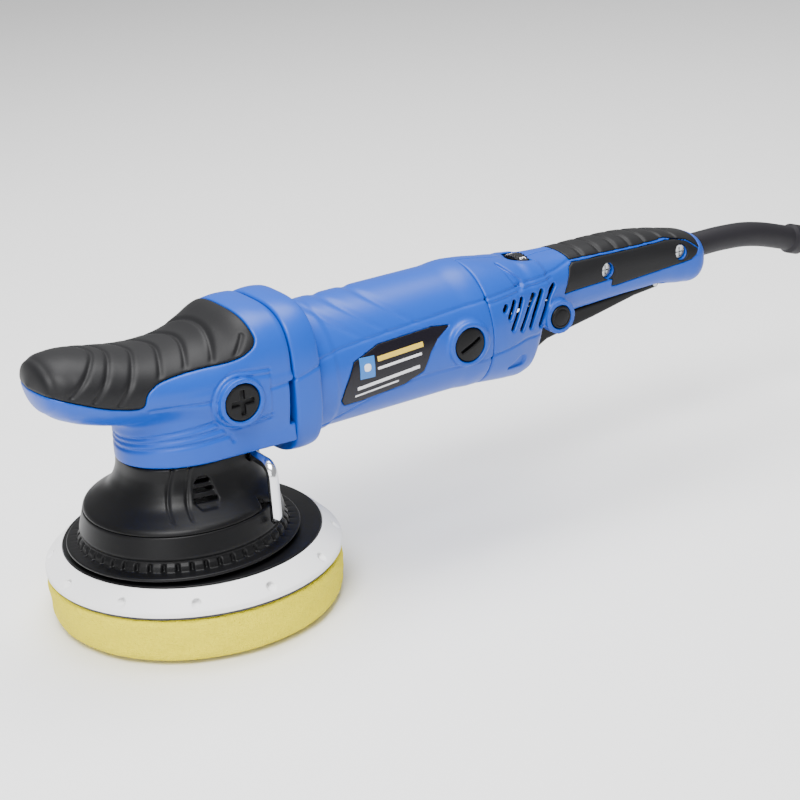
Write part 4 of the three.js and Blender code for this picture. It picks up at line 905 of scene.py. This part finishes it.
def shroud_form(x, y, z):
    """The shroud with its key recess, panel edges and framed vents, hollow below."""
    f = shroud_rough(x, y, z)
    left = y < 0
    recess = np.maximum(np.maximum(KEY_X - 5 - x, y - KEY_Y - 9), z - KEY_Z + 7)
    wall = np.maximum(np.maximum(KEY_X - 7.6 - x, y - KEY_Y - 11.6), z - KEY_Z + 4.4)
    f = soft_max(f, -recess, 1.6)
    for points in (PANEL, PANEL_REAR):
        f = np.where(left, groove(f, line_distance(points, x, z), 0.8, 0.8), f)
    frame_edge = outline_distance(VENT_FRAME, x, z)
    sunk = 0.9 * smooth_step((0.4 - frame_edge) / 1.0)
    f = np.where(left, f + sunk, f)
    for start, end in VENT_SLOTS:
        slot = 1.0 - line_distance([start, end], x, z)
        f = np.where(left, soft_max(f, np.minimum(slot, f + 5.5), 0.5), f)
    hollow = np.maximum(shroud_outside(x, y, z, WALL), z - SHROUD_TOP - 5)
    hollow = np.maximum(hollow, -wall)
    key_hole = np.maximum(np.hypot(x - KEY_X, z - KEY_Z) - 3.6, y + 10)
    return np.maximum(np.maximum(f, -hollow), -key_hole)


shroud = net(shroud_rough, shroud_form, (-50, -50, 59), (50, 50, 87), 0.5, 14, True)
piece("moulded_shroud", shroud, hard_black, "housing", ["shroud"])

skirt = [
    (46.1, SKIRT_TOP), (48.3, 45.0), (SKIRT_RADIUS, SKIRT_BOTTOM), (58.5, SKIRT_BOTTOM), (58.5, 42.6),
    (53.0, 43.2), (52.5, 45.6), (50.7, 47.6), (51.4, 49.4), (SKIRT_RADIUS, SKIRT_TOP),
]


def notched(r, z, angle):
    """Notches round the lip: the radius steps in where a wave round it is high, between two heights."""
    wave = smooth_step((np.cos(NOTCHES * angle) - 0.55) / 0.25)
    band = smooth_step((z - 42.7) / 0.4) * (1 - smooth_step((z - 46.6) / 0.6)) * (r > 50)
    return r - 1.9 * wave * band, z


loop = rounded(skirt, 0.7, 3)
profile = fine_profile(np.vstack([loop, loop[:1]]), 0.7)[:-1]
lip = turned(profile, 720, shape=notched)
piece("moulded_skirt_ring", lip, hard_black, "housing", ["skirt_ring"])


def hex_key_shape():
    """A six-sided bar along two straight parts and a quarter bend between them."""
    bend, leg_length, arm_length, radius, ease = 6.5, 24, 29.5, 2.89, 0.05
    t = np.linspace(0, math.pi / 2, 15)[1:-1, None]
    straight = np.linspace(0, 1, 8)[:, None]
    leg = (KEY_X, KEY_Y + leg_length, KEY_Z) + straight * (0, bend - leg_length, 0)
    turn = (KEY_X, KEY_Y + bend, KEY_Z - bend) + np.sin(t) * (0, -bend, 0) + np.cos(t) * (0, 0, bend)
    arm = (KEY_X, KEY_Y, KEY_Z - bend) + straight * (0, 0, bend - arm_length)
    corner = np.arange(6) * math.pi / 3
    hexagon = radius * np.stack([np.cos(corner), np.sin(corner)], 1)
    after = np.roll(hexagon, -1, 0)
    sides = [(1 - ease) * hexagon + ease * after, ease * hexagon + (1 - ease) * after]
    section = np.stack(sides, 1).reshape(-1, 2)
    route = np.concatenate([leg, turn, arm])
    points, faces = swept(route, section, (1.0, 0, 0))
    return capped(points, faces, len(section))


piece("bent_hex_key", hex_key_shape(), key_metal, "hex_key", ["hex_key"])

# ---- pad stack ----
RIM_HOLES = 12


def with_holes(r, z, angle):
    """Small round holes in the bevel: a point moves in by a depth that falls off at the hole's edge."""
    spacing = 2 * math.pi / RIM_HOLES
    off = (angle + 0.2) % spacing - spacing / 2
    away = np.hypot(off * r, (z - 32.2) * 1.3)
    depth = 5.0 * smooth_step((2.3 - away) / 0.6) * (r > 66)
    return r - depth, z


CUSHION_SIDES, BACKING_SIDES, FOAM_SIDES = 900, 240, 420
cushion = [(11, 26.6), (75, 26.6), (75, 29.2), (65.6, 38.2), (65.6, 35.3), (11, 35.3)]
loop = rounded(cushion, 0.8, 3)
profile = fine_profile(np.vstack([loop, loop[:1]]), 0.6)[:-1]
ring = turned(profile, CUSHION_SIDES, PAD_X, PAD_Y, with_holes)
piece("moulded_cushion_ring", ring, cushion_white, "pad", ["cushion_ring"])
loop = rounded([
    (4.3, 35.6), (65.3, 35.6), (65.3, 38.6), (21, 38.6), (15, 40.1), (15, 44.6), (6.3, 44.6), (6.3, 39.8),
    (4.3, 39.8),
], 0.6, 3)
plate = turned(loop, BACKING_SIDES, PAD_X, PAD_Y)
piece("moulded_backing_plate", plate, hard_black, "pad", ["backing_plate"])


def lumpy(r, z, angle):
    """The foam's cut side is a little uneven: the radius drifts with a few slow waves."""
    slow = 0.25 * np.sin(5 * angle + 0.3 * z) + 0.18 * np.sin(13 * angle - 0.5 * z)
    drift = slow + 0.1 * np.sin(31 * angle + z)
    return r + drift * (r > 60) * np.minimum(1, z / 6), z


loop = rounded([(0.01, 0.0), (66.5, 0.0), (73.6, 3.4), (74.5, 16), (74.4, 25.0), (0.01, 25.0)], 4.0, 8)
profile = fine_profile(loop, 1.0)
disc = turned(profile, FOAM_SIDES, PAD_X, PAD_Y, lumpy)
foam = piece("soft_foam_pad", disc, foam_yellow, "pad", ["foam_pad"])

# ---- cord boot: a drooping sleeve with an open collar at its end ----
BOOT_ROUTE = [
    (320, 116.8), (332, 116.8), (356, 116.6), (372, 115.2), (386, 112.2), (398, 108.5), (413, 103.4),
]
BOOT_END, BOOT_SLOPE = 415.5, 0.34
BOOT_RADIUS, BOOT_COLLAR, BOOT_BORE = 7.1, 1.6, 4.2


def boot_shape():
    """A tube down a smooth route: out along its outside, over the collar, and back along its bore."""
    rows, columns = 90, 48
    first, last = BOOT_ROUTE[0][0], BOOT_ROUTE[-1][0]
    x = np.linspace(first, BOOT_END, rows)
    z, = along(BOOT_ROUTE, np.minimum(x, last))
    z = z - np.maximum(x - last, 0) * BOOT_SLOPE
    route = np.stack([x, 0 * x, z], 1)
    away = BOOT_END - x
    collar = smooth_step((8.6 - away) / 1.2)
    outside = BOOT_RADIUS + BOOT_COLLAR * collar - 0.9 * smooth_step((0.8 - away) / 0.8)
    angle = np.arange(columns) * 2 * math.pi / columns
    circle = np.stack([np.cos(angle), np.sin(angle)], 1)
    sides = []
    for radius in (outside, np.full(rows, BOOT_BORE)):
        tube = swept(route, circle[None] * radius[:, None, None], (0, 1.0, 0))[0]
        sides.append(tube.reshape(rows, columns, 3))
    points = np.concatenate([sides[0], sides[1][::-1]]).reshape(-1, 3)
    return points, sheet_faces(2 * rows, columns, closed_rows=True)


piece("swept_cord_boot", boot_shape(), boot_rubber, "housing", ["cord_boot"])

# ---- finishes on the pieces that keep their CAD shape ----
BY_SLOT = {
    "loop_fabric": hook_loop, "steel": steel, "bright_steel": key_metal, "casting": casting,
    "copper": copper, "brass": brass, "carbon": carbon, "board": board_green,
    "black_plastic": hard_black, "black_rubber": grip_black, "blue_shell": blue,
    "white_cushion": cushion_white, "yellow_foam": foam_yellow, "label_film": label_black,
}
for part in frame["record"]["subparts"]:
    shown = frame["nodes"][part["node"]]
    shown.data.materials.clear()
    shown.data.materials.append(BY_SLOT[part["material_slot"]])

# ---- camera, light and floor ----
azimuth, elevation, roll = math.radians(-31.7), math.radians(21.4), math.radians(-3.77)
flat = math.cos(elevation)
back = np.array([math.sin(azimuth) * flat, -math.cos(azimuth) * flat, math.sin(elevation)])
level = np.array([math.cos(azimuth), math.sin(azimuth), 0])
upward = np.cross(level, -back)
right = math.cos(roll) * level + math.sin(roll) * upward
upright = math.cos(roll) * upward - math.sin(roll) * level
camera = bpy.data.objects.new("camera", bpy.data.cameras.new("camera"))
camera.data.lens = 89.76
camera.data.sensor_width = 36
camera.data.clip_end = 20
turned_to = Matrix(np.stack([right, upright, back], 1).tolist()).to_4x4()
camera.matrix_world = Matrix.Translation((-0.3823, -0.8326, 0.4594)) @ turned_to
bpy.context.scene.collection.objects.link(camera)
bpy.context.scene.camera = camera


def soft_light(name, place, aim, size, power):
    """A square area light at a place, facing a point."""
    data = bpy.data.lights.new(name, "AREA")
    data.size = size
    data.energy = power
    light = bpy.data.objects.new(name, data)
    light.location = place
    direction = Vector(place) - Vector(aim)
    light.rotation_euler = direction.to_track_quat("Z", "Y").to_euler()
    bpy.context.scene.collection.objects.link(light)


middle = (0.12, 0.0, 0.08)
soft_light("key light", (-0.5, -0.6, 1.3), middle, 0.7, 34)
soft_light("top light", (0.3, 0.3, 1.4), middle, 1.0, 30)
soft_light("side light", (-1.2, -0.9, 0.5), middle, 0.8, 7)
world = bpy.data.worlds.new("studio")
world.use_nodes = True
sky = world.node_tree.nodes["Background"].inputs
sky["Color"].default_value = (1, 1, 1, 1)
sky["Strength"].default_value = 0.5
bpy.context.scene.world = world
floor_mesh = bpy.data.meshes.new("floor")
half, below = 6, 0.0002
corners = [(-half, -half, 0), (half, -half, 0), (half, half, 0), (-half, half, 0)]
floor_mesh.from_pydata(corners, [], [(0, 1, 2, 3)])
floor = bpy.data.objects.new("floor", floor_mesh)
floor.location.z = -below
floor_mesh.materials.append(finish("pale floor", (0.9, 0.9, 0.9), 0.8, drift=0.0, depth=0.0))
bpy.context.scene.collection.objects.link(floor)
